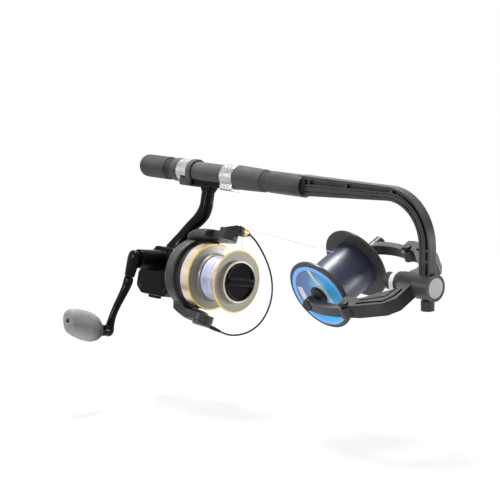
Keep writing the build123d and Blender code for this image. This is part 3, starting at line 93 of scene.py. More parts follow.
# ---------------------------------------------------------------- free line
# Clear nylon line about 0.4 mm thick, pulled straight from the filler spool to the
# roller and from there down on to the reel's spool.
class Wire:
    """A socket of a material's node tree, so that shader maths reads as plain sums."""

    def __init__(self, tree, socket=None):
        self.tree = tree
        self.socket = socket

    def node(self, kind, settings=(), sockets=(), out=0):
        """Adds a node, with its settings and then its sockets, and gives one of its outputs."""
        made = self.tree.nodes.new("ShaderNode" + kind)
        for key, value in dict(settings).items():
            if key == "stops":
                points = made.color_ramp.elements
                while len(points) < len(value):
                    points.new(1.0)
                for point, (spot, colour) in zip(points, value):
                    point.position = spot
                    point.color = (*colour, 1)
            else:
                setattr(made, key, value)
        for key, value in dict(sockets).items():
            self.feed(made.inputs[key], value)
        return Wire(self.tree, made.outputs[out])

    def feed(self, entry, value):
        """Links a wire to a socket, or sets the socket's own value."""
        if isinstance(value, Wire):
            self.tree.links.new(value.socket, entry)
        elif entry.type == "RGBA" and len(value) == 3:
            entry.default_value = (*value, 1)
        else:
            entry.default_value = value

    def sum(self, operation, first, second):
        """One Math node on two values."""
        return self.node("Math", {"operation": operation}, {0: first, 1: second})

    def __add__(self, other):
        return self.sum("ADD", self, other)

    def __sub__(self, other):
        return self.sum("SUBTRACT", self, other)

    def __mul__(self, other):
        return self.sum("MULTIPLY", self, other)

    def __pow__(self, other):
        return self.sum("POWER", self, other)

    def __rsub__(self, other):
        return self.sum("SUBTRACT", other, self)

    __radd__ = __add__
    __rmul__ = __mul__

    def output(self, name):
        """Another output of the same node."""
        return Wire(self.tree, self.socket.node.outputs[name])

    def above(self, limit, soft=1e-5):
        """1 where the value is over the limit, 0 under it, with a soft edge."""
        return self.node(
            "MapRange", {"clamp": True},
            {"Value": self, "From Min": limit - soft, "From Max": limit + soft},
        )

    def mix(self, first, second):
        """The second colour where this mask is 1, the first where it is 0."""
        return self.node("Mix", {"data_type": "RGBA"}, {0: self, 6: first, 7: second}, out=2)


def new_material(name, **plain):
    """A material with its surface shader, and a wire at the object's own coordinates."""
    material = bpy.data.materials.new(name)
    material.use_nodes = True
    tree = material.node_tree
    surface = tree.nodes["Principled BSDF"]
    for key, value in plain.items():
        Wire(tree).feed(surface.inputs[key.replace("_", " ")], value)
    return material, surface, Wire(tree).node("TexCoord", out=3)


def speckle(at, scale, detail=2.0, stretch=None):
    """Noise in the object's own coordinates, stretched along the axes where asked."""
    if stretch:
        at = at.node("Mapping", {}, {"Vector": at, "Scale": stretch})
    return at.node("TexNoise", {}, {"Vector": at, "Scale": scale, "Detail": detail})


line_thickness = 0.0004
line_points = [
    (0.2454, -0.0123, -0.0495),
    (0.11588, 0.00840, -0.046738),
    (0.10912, 0.009466, -0.046595),
    (0.11044, 0.008287, -0.053308),
    (0.1180, 0.0016, -0.0906),
]
route = bpy.data.curves.new("line_route", "CURVE")
route.dimensions = "3D"
strand = route.splines.new("NURBS")
strand.points.add(len(line_points) - 1)
for point, spot in zip(strand.points, line_points):
    point.co = (*spot, 1)
strand.order_u = 3
strand.use_endpoint_u = True
strand.resolution_u = 12
route.bevel_depth = line_thickness / 2
route.bevel_resolution = 3
nylon, nylon_surface, nylon_at = new_material(
    "clear_nylon", Base_Color=(0.78, 0.79, 0.82), Roughness=0.25, IOR=1.53, Coat_Weight=0.3
)
nylon_tone = speckle(nylon_at, 900, 2, (0.1, 1, 1))
nylon_at.feed(nylon_surface.inputs["Base Color"], nylon_tone.mix((0.70, 0.71, 0.75), (0.86, 0.87, 0.9)))
route.materials.append(nylon)
free_line = bpy.data.objects.new("free_line_strand", route)
bpy.context.scene.collection.objects.link(free_line)
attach(free_line, "winder")
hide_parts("free_line")

# ---------------------------------------------------------------- studio
# A pale floor under the object, with soft lamps at a plain level. The camera and mirrors
# see the floor and the room as white.
def in_view(ray):
    """1 for what the camera sees, also by way of a gloss or a clear part, and 0 for the light."""
    return ray + ray.output("Is Glossy Ray") + ray.output("Is Transmission Ray")


room_light = 0.14
floor_gap = 0.06
studio = bpy.data.worlds.new("studio")
bpy.context.scene.world = studio
studio.use_nodes = True
sky = studio.node_tree.nodes["Background"]
sky.inputs["Color"].default_value = (1, 1, 1, 1)
ray = Wire(studio.node_tree).node("LightPath")
ray.feed(sky.inputs["Strength"], in_view(ray) * (1 - room_light) + room_light)
floor_mesh = bpy.data.meshes.new("floor")
reach = 14.0
floor_mesh.from_pydata(
    [(-reach, -reach, 0), (reach, -reach, 0), (reach, reach, 0), (-reach, reach, 0)], [], [(0, 1, 2, 3)],
)
floor = bpy.data.objects.new("floor", floor_mesh)
floor.location = (0.1, 0, cad_box[0][2] - floor_gap)
bpy.context.scene.collection.objects.link(floor)
pale = bpy.data.materials.new("pale_floor")
pale.use_nodes = True
matt = pale.node_tree.nodes["Principled BSDF"]
matt.inputs["Base Color"].default_value = (0.75, 0.75, 0.75, 1)
matt.inputs["Roughness"].default_value = 0.9
path = Wire(pale.node_tree).node("LightPath")
floor_at = path.node("TexCoord", out=3)
from_foot = floor_at.node("VectorMath", {"operation": "LENGTH"}, {0: floor_at}, out="Value")
far = from_foot.node("MapRange", {"clamp": True}, {"Value": from_foot, "From Min": 0.3, "From Max": 1.2})
glow = path.node("Emission", {}, {"Color": (1, 1, 1), "Strength": 1.0})
lit = Wire(pale.node_tree, matt.outputs[0])
cast = path.node("MixShader", {}, {0: in_view(path) * (far * 0.1 + 0.9), 1: lit, 2: glow})
cast.feed(pale.node_tree.nodes["Material Output"].inputs["Surface"], cast)
floor_mesh.materials.append(pale)
for name, spot, aim, size, power in (
    ("key_lamp", (-0.25, 0.15, 1.43), (0.2, 0, -0.06), 0.42, 68),
    ("front_lamp", (-0.55, -1.4, 0.4), (0.15, 0, -0.05), 0.18, 9),
    ("rim_lamp", (0.75, 1.0, -0.05), (0.25, 0, -0.07), 0.3, 10),
):
    lamp = bpy.data.lights.new(name, "AREA")
    lamp.shape = "DISK"
    lamp.size = size
    lamp.energy = power
    holder = bpy.data.objects.new(name, lamp)
    holder.location = spot
    holder.rotation_euler = (Vector(aim) - Vector(spot)).to_track_quat("-Z", "Y").to_euler()
    bpy.context.scene.collection.objects.link(holder)

# ---------------------------------------------------------------- handle
# A moulded nylon tube carries everything. Its skin has the even grain of a spark-eroded
# mould, coarse and grey on the grips and the seat, finer and darker on the arm.
def relief(surface, height, depth, strength=1.0, rounded=None):
    """Feeds a height, in metres times depth, to the surface's normal, over rounded edges."""
    sockets = {"Height": height, "Distance": depth, "Strength": strength}
    if rounded:
        sockets["Normal"] = rounded
    height.feed(surface.inputs["Normal"], height.node("Bump", {}, sockets))


def edges(at, radius):
    """The normal rounded over a piece's edges, and how near a point is to an edge, from 0 to 1."""
    rounded = at.node("Bevel", {"samples": 6}, {"Radius": radius})
    plain = at.node("NewGeometry", out="Normal")
    alike = at.node("VectorMath", {"operation": "DOT_PRODUCT"}, {0: rounded, 1: plain}, out="Value")
    nearness = at.node("MapRange", {"clamp": True}, {"Value": 1 - alike, "From Min": 0.02, "From Max": 0.3})
    return rounded, nearness


def dress(material, *names):
    """Gives CAD nodes a material."""
    for name in names:
        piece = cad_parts[name]
        if not piece.material_slots:
            piece.data.materials.append(material)
        for entry in piece.material_slots:
            entry.material = material


grained, grained_surface, grained_at = new_material(
    "grained_nylon", Base_Color=(0.06, 0.06, 0.061), Roughness=0.62, Specular_IOR_Level=0.14
)
pits = speckle(grained_at, 1500, 3)
rubbed = speckle(grained_at, 45, 4)
grained_round, grained_edge_highlight = edges(grained_at, 0.0006)
grained_tone = (pits * 0.7 + rubbed * 0.9 - 0.3).mix((0.02, 0.02, 0.02), (0.085, 0.085, 0.086))
# The edges are painted pale, a painted highlight where rounded edges would catch the lamps.
grained_at.feed(grained_surface.inputs["Base Color"], (grained_edge_highlight * 0.6).mix(grained_tone, (0.2, 0.2, 0.2)))
grained_at.feed(grained_surface.inputs["Roughness"], pits * 0.2 + 0.5)
relief(grained_surface, pits, 0.00008, 0.7, grained_round)
dress(grained, "handle_tube", "seat_tube", "rear_hood", "foregrip")
satin, satin_surface, satin_at = new_material(
    "moulded_nylon", Base_Color=(0.02, 0.02, 0.022), Roughness=0.36, Specular_IOR_Level=0.2
)
grain = speckle(satin_at, 2600, 2)
cloud = speckle(satin_at, 60, 3)
satin_round, satin_edge_highlight = edges(satin_at, 0.0006)
satin_tone = cloud.mix((0.014, 0.014, 0.0142), (0.065, 0.065, 0.0655))
# The edges are painted pale, a painted highlight where rounded edges would catch the lamps.
satin_at.feed(satin_surface.inputs["Base Color"], (satin_edge_highlight * 0.8).mix(satin_tone, (0.3, 0.3, 0.302)))
satin_at.feed(satin_surface.inputs["Roughness"], cloud * 0.1 + grain * 0.12 + 0.24)
relief(satin_surface, grain, 0.00004, 0.5, satin_round)
dress(satin, "winder_arm", "front_cone", "rear_cone", "tension_knob", "front_arm", "rear_arm", "thumb_screw")

# ---------------------------------------------------------------- foam grip
# Closed-cell foam, ground to a round end and pushed on to the tube, with a harder rubber
# ring where it ends.
foam, foam_surface, foam_at = new_material(
    "foam", Base_Color=(0.045, 0.045, 0.048), Roughness=0.9, Specular_IOR_Level=0.1
)
cells = foam_at.node("TexVoronoi", {"feature": "F1"}, {"Vector": foam_at, "Scale": 2200})
smudge = speckle(foam_at, 120, 4)
foam_tone = (cells * 0.5 + smudge * 0.6).mix((0.02, 0.02, 0.021), (0.075, 0.075, 0.077))
foam_at.feed(foam_surface.inputs["Base Color"], foam_tone)
foam_at.feed(foam_surface.inputs["Roughness"], cells * 0.15 + 0.78)
relief(foam_surface, cells, 0.0001, 0.6)
dress(foam, "butt_grip", "grip_ring")

# ---------------------------------------------------------------- seat bands
# Thin rolled aluminium bands pressed on the hoods, with the fine turned lines of a lathe
# and the small dents that handling leaves.
silver, silver_surface, silver_at = new_material(
    "turned_aluminium", Base_Color=(0.5, 0.5, 0.51), Metallic=1.0, Roughness=0.3
)
turned = speckle(silver_at, 500, 3, (12, 0.6, 0.6))
dents = speckle(silver_at, 240, 2)
# The colour's strong dark and bright streaks follow the turned lines and are also a painted reflection.
silver_lines_and_painted_reflection = (turned * 2.4 - 0.7).mix((0.16, 0.16, 0.165), (0.72, 0.72, 0.73))
silver_at.feed(silver_surface.inputs["Base Color"], silver_lines_and_painted_reflection)
silver_at.feed(silver_surface.inputs["Roughness"], turned * 0.2 + 0.2)
relief(silver_surface, turned * 0.4 + dents * 0.6, 0.0002, 0.5)
dress(silver, "rear_hood_band", "front_hood_band")

# ---------------------------------------------------------------- swivel hub and fork
# The fork and its swivel bolt are moulded in dark grey nylon and turn against a white
# nylon washer and a rubber ring. The bolt's cap is a brushed disc let into the hub.
grey, grey_surface, grey_at = new_material(
    "grey_nylon", Base_Color=(0.05, 0.05, 0.053), Roughness=0.4, Specular_IOR_Level=0.14
)
grey_grain = speckle(grey_at, 2200, 2)
grey_cloud = speckle(grey_at, 70, 3)
grey_round, grey_edge_highlight = edges(grey_at, 0.0006)
grey_tone = grey_cloud.mix((0.012, 0.012, 0.0125), (0.05, 0.05, 0.051))
# The edges are painted pale, a painted highlight where rounded edges would catch the lamps.
grey_at.feed(grey_surface.inputs["Base Color"], (grey_edge_highlight * 0.8).mix(grey_tone, (0.3, 0.3, 0.302)))
grey_at.feed(grey_surface.inputs["Roughness"], grey_grain * 0.15 + 0.34)
relief(grey_surface, grey_grain, 0.00004, 0.5, grey_round)
dress(grey, "fork", "swivel_bolt")
disc, disc_surface, disc_at = new_material(
    "brushed_cap", Base_Color=(0.38, 0.38, 0.39), Metallic=0.2, Roughness=0.45
)
brushed = speckle(disc_at, 900, 3, (0.05, 1, 8))
disc_at.feed(disc_surface.inputs["Base Color"], brushed.mix((0.2, 0.2, 0.205), (0.34, 0.34, 0.345)))
disc_at.feed(disc_surface.inputs["Roughness"], brushed * 0.25 + 0.3)
dress(disc, "hub_cap")
nylon_ring, ring_surface, ring_at = new_material("white_nylon", Base_Color=(0.86, 0.86, 0.84), Roughness=0.4)
ring_tone = speckle(ring_at, 300, 2)
ring_at.feed(ring_surface.inputs["Base Color"], ring_tone.mix((0.8, 0.8, 0.78), (0.9, 0.9, 0.88)))
dress(nylon_ring, "nylon_washer")
rubber, rubber_surface, rubber_at = new_material("dark_rubber", Base_Color=(0.03, 0.03, 0.03), Roughness=0.8)
rubber_tone = speckle(rubber_at, 900, 3)
rubber_grey = rubber_tone.mix((0.02, 0.02, 0.02), (0.045, 0.045, 0.045))
rubber_at.feed(rubber_surface.inputs["Base Color"], rubber_grey)
relief(rubber_surface, rubber_tone, 0.0001, 0.5)
dress(rubber, "friction_ring")

# ---------------------------------------------------------------- filler spool
# A black polystyrene spool from the tackle shop, with a printed film label on its front
# face and clear blue-grey nylon wound on it in fine, close turns.
spool_x, spool_z, fork_tilt = 0.2473, -0.068, radians(25.9)
fork_frame = Matrix.Translation((0, 0, spool_z)) @ Matrix.Rotation(fork_tilt, 4, "X")
spool_frame = fork_frame @ Matrix.Translation((spool_x, 0, 0)) @ Matrix.Rotation(radians(90), 4, "Z")
spool_black, spool_surface, spool_at = new_material(
    "spool_black", Base_Color=(0.02, 0.02, 0.022), Roughness=0.34, Specular_IOR_Level=0.16
)
spool_grain = speckle(spool_at, 500, 3)
spool_round, spool_edge_highlight = edges(spool_at, 0.0005)
spool_tone = spool_grain.mix((0.02, 0.02, 0.021), (0.075, 0.075, 0.077))
# The edges are painted pale, a painted highlight where rounded edges would catch the lamps.
spool_at.feed(spool_surface.inputs["Base Color"], (spool_edge_highlight * 0.6).mix(spool_tone, (0.2, 0.2, 0.205)))
spool_at.feed(spool_surface.inputs["Roughness"], spool_grain * 0.2 + 0.25)
relief(spool_surface, spool_grain, 0.00005, 0.4, spool_round)
dress(spool_black, "filler_spool")


def add_piece(name, mesh, body, material):
    """Links a new mesh piece, smooth shaded, that rides on a body."""
    piece = bpy.data.objects.new(name, mesh)
    bpy.context.scene.collection.objects.link(piece)
    mesh.materials.append(material)
    for face in mesh.polygons:
        face.use_smooth = True
    mesh.set_sharp_from_angle(angle=radians(40))
    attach(piece, body)
    return piece


def skin(name, shells, body, material):
    """A piece of one or more closed shells, each through rings of points, with capped ends."""
    mesh_points, faces = [], []
    for rings in shells:
        count, first = len(rings[0]), len(mesh_points)
        for ring in rings:
            mesh_points.extend(ring)
        for row in range(len(rings) - 1):
            for corner in range(count):
                near = first + row * count + corner
                beside = first + row * count + (corner + 1) % count
                faces.append((near, beside, beside + count, near + count))
        faces.append(tuple(reversed(range(first, first + count))))
        faces.append(tuple(range(len(mesh_points) - count, len(mesh_points))))
    mesh = bpy.data.meshes.new(name)
    mesh.from_pydata(mesh_points, [], faces)
    return add_piece(name, mesh, body, material)


def wound_line(name, radius, start, end, turns, where, body, material):
    """Line wound in close turns on a drum: one helical ridge a turn, round the local X axis."""
    rows, around = turns * 4, 96
    ridge = (end - start) / turns * 0.14
    rings = []
    for row in range(-1, rows + 2):
        share = min(max(row / rows, 0), 1)
        ring = []
        for step in range(around):
            angle = 2 * pi * step / around
            size = radius + ridge * (cos(2 * pi * (share * turns + step / around)) - 1) / 2
            if row < 0 or row > rows:
                size = radius * 0.8
            ring.append(where @ Vector((start + share * (end - start), size * cos(angle), size * sin(angle))))
        rings.append(ring)
    return skin(name, [rings], body, material)


blue_line, blue_surface, blue_at = new_material(
    "filler_nylon", Base_Color=(0.05, 0.06, 0.14), Roughness=0.4, Specular_IOR_Level=0.55
)
spread = blue_at.node("SeparateXYZ", {}, {0: blue_at})
lengthways = spread.output("Y") * cos(fork_tilt) + (spread.output("Z") - spool_z) * sin(fork_tilt)
turn_place = blue_at.node(
    "CombineXYZ", {}, {0: lengthways * 60, 1: spread * 0.6, 2: spread.output("Z") * 0.6}
)
strands = speckle(turn_place, 60, 4)
layers = speckle(blue_at, 90, 2)
tone = strands * 1.5 + layers * 0.5 - 0.5
blue_at.feed(blue_surface.inputs["Base Color"], tone.mix((0.001, 0.002, 0.012), (0.022, 0.03, 0.085)))
blue_at.feed(blue_surface.inputs["Roughness"], strands * 0.2 + 0.28)
filler_winding = wound_line(
    "filler_winding", 0.02145, -0.0314, 0.0124, 96, spool_frame, "filler", blue_line
)
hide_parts("filler_line_core", "filler_line_turns")

# The label's print is a field that goes from slate to blue with a paler patch, crossed by
# one waved gold band, with a plain grey panel and a blue rim.
label, label_surface, label_at = new_material(
    "printed_film", Base_Color=(0.1, 0.33, 0.75), Roughness=0.3, Specular_IOR_Level=0.2
)
split = label_at.node("SeparateXYZ", {}, {0: label_at})
sideways = split - spool_x
upright = split.output("Y") * -sin(fork_tilt) + (split.output("Z") - spool_z) * cos(fork_tilt)
from_middle = (sideways * sideways + upright * upright) ** 0.5
label_reach = (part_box("filler_label")[1][0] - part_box("filler_label")[0][0]) / 2
slope = sideways * 20 - upright * 12 + 0.45
fade = slope.node("Clamp", {}, {0: slope})
glare = speckle(label_at, 75, 3)
field = fade.mix((0.09, 0.13, 0.27), (0.02, 0.42, 0.86))
patch_radius = 0.0125
patch_side, patch_up = sideways - 0.003, upright - 0.008
pale_patch = (patch_radius - (patch_side * patch_side + patch_up * patch_up) ** 0.5) * 90
field = (pale_patch.node("Clamp", {}, {0: pale_patch}) * (glare * 0.9)).mix(field, (0.35, 0.76, 0.97))
wave = upright * 260
ripple = wave.node("Math", {"operation": "SINE"}, {0: wave})
band_middle = upright * -0.55 + ripple * 0.0012 + 0.012
band_half, band_soft = 0.0016, 0.0002
off_band = sideways - band_middle
band = (off_band + band_half).above(0, band_soft) * (band_half - off_band).above(0, band_soft)
field = (band * 0.8).mix(field, (0.66, 0.56, 0.26))
panel_side = sideways + upright * 0.12
panel_wide = (panel_side + 0.0225).above(0) * (-0.0165 - panel_side).above(0)
panel_high = (upright + 0.011).above(0) * (0.006 - upright).above(0)
panel = panel_wide * panel_high
field = (panel * 0.8).mix(field, (0.55, 0.56, 0.58))
rim_width = 0.0034
edge = from_middle.above(label_reach - rim_width)
label_at.feed(label_surface.inputs["Base Color"], edge.mix(field, (0.13, 0.36, 0.74)))
film = speckle(label_at, 400, 2)
label_at.feed(label_surface.inputs["Roughness"], film * 0.1 + 0.24)
dress(label, "filler_label")

# ---------------------------------------------------------------- reel body and rotor
# Graphite-filled castings. The body and its bent, oval stem are under a deep black lacquer.
# The rotor, its two rounded arm bars and the bail's levers have a greyer one. On both
# lacquers the edges are painted pale, a painted highlight.
lacquer, lacquer_surface, lacquer_at = new_material(
    "black_lacquer", Base_Color=(0.01, 0.01, 0.011), Roughness=0.24, Specular_IOR_Level=0.08
)
peel = speckle(lacquer_at, 350, 2)
haze = speckle(lacquer_at, 45, 3)
lacquer_round, lacquer_edge_highlight = edges(lacquer_at, 0.0008)
lacquer_tone = haze.mix((0.0015, 0.0015, 0.0016), (0.005, 0.005, 0.0052))
# The edges are painted pale, a painted highlight where rounded edges would catch the lamps.
lacquer_with_edge_highlight = (lacquer_edge_highlight * 0.5).mix(lacquer_tone, (0.12, 0.12, 0.122))
lacquer_at.feed(lacquer_surface.inputs["Base Color"], lacquer_with_edge_highlight)
lacquer_at.feed(lacquer_surface.inputs["Roughness"], haze * 0.12 + 0.14)
relief(lacquer_surface, peel, 0.00006, 0.35, lacquer_round)
dress(lacquer, "reel_housing", "side_cover", "drag_knob", "anti_reverse_lever")
rotor_skin, rotor_surface, rotor_at = new_material(
    "rotor_lacquer", Base_Color=(0.03, 0.03, 0.0303), Roughness=0.32, Specular_IOR_Level=0.25
)
wear = speckle(rotor_at, 55, 4)
rotor_round, rotor_edge_highlight = edges(rotor_at, 0.0009)
rotor_tone = (wear * 1.6 - 0.3).mix((0.012, 0.012, 0.0122), (0.06, 0.06, 0.0605))
# The edges are painted pale, a painted highlight where rounded edges would catch the lamps.
rotor_at.feed(rotor_surface.inputs["Base Color"], (rotor_edge_highlight * 0.6).mix(rotor_tone, (0.22, 0.22, 0.222)))
rotor_at.feed(rotor_surface.inputs["Roughness"], wear * 0.2 + 0.22)
relief(rotor_surface, speckle(rotor_at, 500, 2), 0.00004, 0.35, rotor_round)
dress(rotor_skin, "rotor", "upper_bail_arm", "lower_bail_arm")


def smooth_rows(rows, steps):
    """The rows with more between them, on one smooth curve through all of them."""
    fuller = []
    for k in range(len(rows) - 1):
        around_it = rows[max(k - 1, 0)], rows[k], rows[k + 1], rows[min(k + 2, len(rows) - 1)]
        for step in range(steps):
            t = step / steps
            fuller.append(tuple(
                b + (c - a) * t / 2
                + (a - 2.5 * b + 2 * c - d / 2) * t ** 2
                + (1.5 * b - a / 2 - 1.5 * c + d / 2) * t ** 3
                for a, b, c, d in zip(*around_it)
            ))
    return fuller + [rows[-1]]


def swept(rows, where, side, square=2.0, around=24, way=None):
    """Rings along rows of x, y, z, half width and half depth in millimetres. Side is the width's way."""
    rings = []
    for k, (x, y, z, half_wide, half_deep) in enumerate(rows):
        before, after = rows[max(k - 1, 0)], rows[min(k + 1, len(rows) - 1)]
        heading = way or (Vector(after[:3]) - Vector(before[:3])).normalized()
        wide = (side - heading * heading.dot(side)).normalized()
        deep = heading.cross(wide)
        ring = []
        for corner in range(around):
            angle = 2 * pi * corner / around
            reach = (abs(cos(angle)) ** square + abs(sin(angle)) ** square) ** (-1 / square)
            out_wide, out_deep = half_wide * reach * cos(angle), half_deep * reach * sin(angle)
            spot = Vector((x, y, z)) + wide * out_wide + deep * out_deep
            ring.append(where @ (spot / 1000))
        rings.append(ring)
    return rings


reel_tilt, reel_drop = radians(-12), -0.09
reel_frame = Matrix.Rotation(reel_tilt, 4, "X") @ Matrix.Translation((0, 0, reel_drop))
along = Vector((1, 0, 0))
stem_rows = smooth_rows([
    (80.4, 0, 74.5, 5.0, 5.0), (80.4, 0, 67.0, 5.0, 5.0), (80.0, 0, 60.5, 5.4, 5.1),
    (77.8, 0, 54.0, 5.8, 5.2), (73.2, 0, 48.3, 5.4, 5.2), (67.3, 0, 43.0, 5.1, 5.2),
    (61.4, 0, 37.0, 5.3, 5.3), (56.4, 0, 30.5, 6.0, 5.8), (52.0, 0, 24.0, 7.4, 7.0),
    (48.6, 0, 17.5, 9.0, 9.0),
], 5)
skin(
    "stem_casting", [swept(stem_rows, reel_frame, along, square=3.2, around=40)],
    "winder", lacquer,
)
bar_rows = [
    (70.4, 30.5, 1.5, 7.0), (71.2, 31.4, 4.0, 9.2), (75.0, 33.6, 5.0, 9.9), (81.0, 35.4, 5.0, 10.0),
    (90.0, 36.6, 4.9, 9.9), (93.6, 37.0, 4.0, 9.2), (94.2, 37.2, 1.5, 7.0),
]
arm_bars = []
for side in (-1, 1):
    bar = smooth_rows([(x, 0, side * middle, thick, wide) for x, middle, thick, wide in bar_rows], 4)
    arm_bars.append(swept(bar, reel_frame, Vector((0, 0, 1)), square=3.4, around=48, way=along))
skin("rotor_castings", arm_bars, "rotor", rotor_skin)

# ---------------------------------------------------------------- reel spool
# A turned aluminium spool, lacquered champagne on the skirt and nose and taupe on the
# faces, with a bright gold line cut round each edge.
champagne, champagne_surface, champagne_at = new_material(
    "champagne_lacquer", Base_Color=(0.6, 0.53, 0.45), Metallic=0.85, Roughness=0.28
)
flake = speckle(champagne_at, 3000, 1)
champagne_at.feed(champagne_surface.inputs["Base Color"], flake.mix((0.52, 0.46, 0.38), (0.74, 0.66, 0.57)))
champagne_at.feed(champagne_surface.inputs["Roughness"], flake * 0.15 + 0.2)
dress(champagne, "spool_skirt", "nose_ring")
taupe, taupe_surface, taupe_at = new_material(
    "taupe_lacquer", Base_Color=(0.22, 0.21, 0.18), Metallic=0.45, Roughness=0.38
)
taupe_flake = speckle(taupe_at, 3000, 1)
taupe_at.feed(taupe_surface.inputs["Base Color"], taupe_flake.mix((0.18, 0.17, 0.15), (0.26, 0.25, 0.215)))
taupe_at.feed(taupe_surface.inputs["Roughness"], taupe_flake * 0.1 + 0.32)
dress(taupe, "reel_spool")
gilt, gilt_surface, gilt_at = new_material(
    "gilt_rim", Base_Color=(0.83, 0.58, 0.12), Metallic=0.9, Roughness=0.3
)
worn = speckle(gilt_at, 260, 3)
gilt_at.feed(gilt_surface.inputs["Base Color"], worn.mix((0.62, 0.42, 0.08), (0.88, 0.63, 0.16)))
gilt_at.feed(gilt_surface.inputs["Roughness"], worn * 0.2 + 0.2)
dress(gilt, "rear_spool_rim", "front_spool_rim")
pale_line, pale_surface, pale_at = new_material(
    "reel_nylon", Base_Color=(0.3, 0.31, 0.46), Roughness=0.32, Specular_IOR_Level=0.5
)
reel_spread = pale_at.node("SeparateXYZ", {}, {0: pale_at})
reel_turn = pale_at.node(
    "CombineXYZ", {}, {0: reel_spread * 60, 1: reel_spread.output("Y"), 2: reel_spread.output("Z")}
)
reel_strands = speckle(reel_turn, 60, 4)
pale_tone = (reel_strands * 2.4 - 0.7).mix((0.09, 0.10, 0.24), (0.60, 0.61, 0.72))
pale_at.feed(pale_surface.inputs["Base Color"], pale_tone)
pale_at.feed(pale_surface.inputs["Roughness"], reel_strands * 0.25 + 0.2)
reel_winding = wound_line(
    "reel_winding", 0.01975, 0.1071, 0.1307, 52, reel_frame, "reel_spool", pale_line
)
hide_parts("reel_line_core", "reel_line_turns")

# ---------------------------------------------------------------- bail wire
# One length of spring wire under black lacquer, bent into a hoop between the two levers. It
# starts in a tapered holder and ends in the cover that keeps the line on its roller.
wire_black, wire_surface, wire_at = new_material(
    "wire_lacquer", Base_Color=(0.012, 0.012, 0.013), Roughness=0.25, Specular_IOR_Level=0.2
)
wire_haze = speckle(wire_at, 300, 3)
wire_at.feed(wire_surface.inputs["Roughness"], wire_haze * 0.2 + 0.16)
rotor_turn, bail_pivot_x, bail_lean = radians(-12), 0.105, radians(48)
bail_frame = (
    reel_frame @ Matrix.Rotation(rotor_turn, 4, "X") @ Matrix.Translation((bail_pivot_x, 0, 0))
    @ Matrix.Rotation(bail_lean, 4, "Z")
)
across_bail = Vector((0, 1, 0))
wire_radius = 0.8
hoop_path = [
    (9.0, 0, -43.2), (17.5, 0, -44.4), (25.5, 0, -44.9), (33.5, 0, -42.6), (41.2, 0, -37.6),
    (47.6, 0, -29.8), (51.2, 0, -20.5), (52.6, 0.2, -9.5), (51.6, 0.8, 1.5), (48.3, 1.8, 12.0),
    (43.2, 3.1, 21.6), (36.8, 4.5, 30.2), (29.8, 5.8, 37.6), (24.0, 6.7, 42.6), (19.6, 6.4, 45.2),
]
hoop_rows = smooth_rows([(*spot, wire_radius, wire_radius) for spot in hoop_path], 6)
hoop = swept(hoop_rows, bail_frame, across_bail, around=16)
roller_way = Vector((sin(bail_lean), cos(bail_lean), 0))
roller_middle = Vector((12.5, 0, 45.5))


def on_roller(rows):
    """A shell turned on the roller's axis from (distance, radius) rows."""
    spots = [(*(roller_middle + roller_way * distance), radius, radius) for distance, radius in rows]
    return swept(spots, bail_frame, Vector((0, 0, 1)), around=32, way=roller_way)


cover = on_roller([
    (2.75, 2.6), (2.75, 3.1), (3.2, 3.25), (4.2, 3.0), (5.6, 2.3), (7.2, 1.6), (8.6, 1.1), (9.4, 0.8),
])
roller_pin = on_roller([(-5.2, 1.0), (3.4, 1.0)])
holder_way = Vector((-13.17, 0, 1.85)).normalized()
holder_start = Vector((12.6, 0, -43.6))
holder = swept(
    [(*(holder_start + holder_way * distance), radius, radius) for distance, radius in (
        (-5.4, 0.9), (-5.0, 1.15), (-2.4, 1.35), (-2.2, 1.2), (-1.8, 1.5), (0.2, 1.7), (6.4, 1.75),
    )],
    bail_frame, across_bail, around=24, way=holder_way * -1,
)
bail_hoop = skin("bail_hoop", [hoop, cover, roller_pin, holder], "bail", wire_black)
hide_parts("bail_wire")

# ---------------------------------------------------------------- crank
# A cast root on the shaft's end carries the folding arm, which swells where the fold pin
# passes and runs down in a slim curve to the knob's spindle. Both are lacquered black.
crank_x, crank_lift, crank_slant = 0.045, 0.0065, radians(9.5)
crank_frame = (
    reel_frame @ Matrix.Translation((crank_x, 0, crank_lift)) @ Matrix.Rotation(crank_slant, 4, "Y")
)
outwards = Vector((0, -1, 0))
root_rows = smooth_rows([
    (0, -45.2, 7.0, 1.2, 1.0), (0, -45.2, 6.2, 4.0, 2.8), (0, -45.2, 3.8, 6.0, 3.8), (0, -45.3, 0, 6.7, 4.1),
    (0, -45.3, -6.0, 6.2, 4.1), (0, -45.3, -12.0, 5.4, 4.0), (0, -45.3, -16.4, 4.9, 3.8),
], 5)
shaft_collar = swept(
    [(0, -41.3, 0, 5.6, 5.6), (0, -41.5, 0, 6.0, 6.0), (0, -43.8, 0, 6.0, 6.0)],
    crank_frame, along, around=32, way=outwards,
)
root_fork = swept(root_rows, crank_frame, along, square=2.3, around=36)
knuckle = swept(
    [(-1.8, -45.3, -20.0, 3.2, 3.2), (1.8, -45.3, -20.0, 3.2, 3.2)],
    crank_frame, Vector((0, 1, 0)), around=24, way=along,
)
crank_casting = skin("crank_casting", [shaft_collar, root_fork, knuckle], "crank", lacquer)
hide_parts("crank_root")
arm_rows = smooth_rows([
    (0, -45.3, -16.9, 4.2, 1.6), (0, -45.3, -17.5, 4.7, 2.6), (0, -45.3, -18.8, 4.8, 3.3),
    (0, -45.3, -22.0, 4.7, 3.7), (0, -45.9, -27.0, 4.2, 3.5), (0, -48.4, -36.0, 3.7, 3.1),
    (0, -51.4, -46.0, 3.4, 2.9), (0, -53.0, -55.0, 3.3, 3.0), (0, -53.3, -62.0, 3.8, 3.5),
    (0, -53.3, -68.0, 4.7, 4.2), (0, -53.3, -71.6, 3.3, 3.0), (0, -53.3, -73.2, 1.0, 0.9),
], 5)
arm_shell = swept(arm_rows, crank_frame, along, square=2.3, around=36)
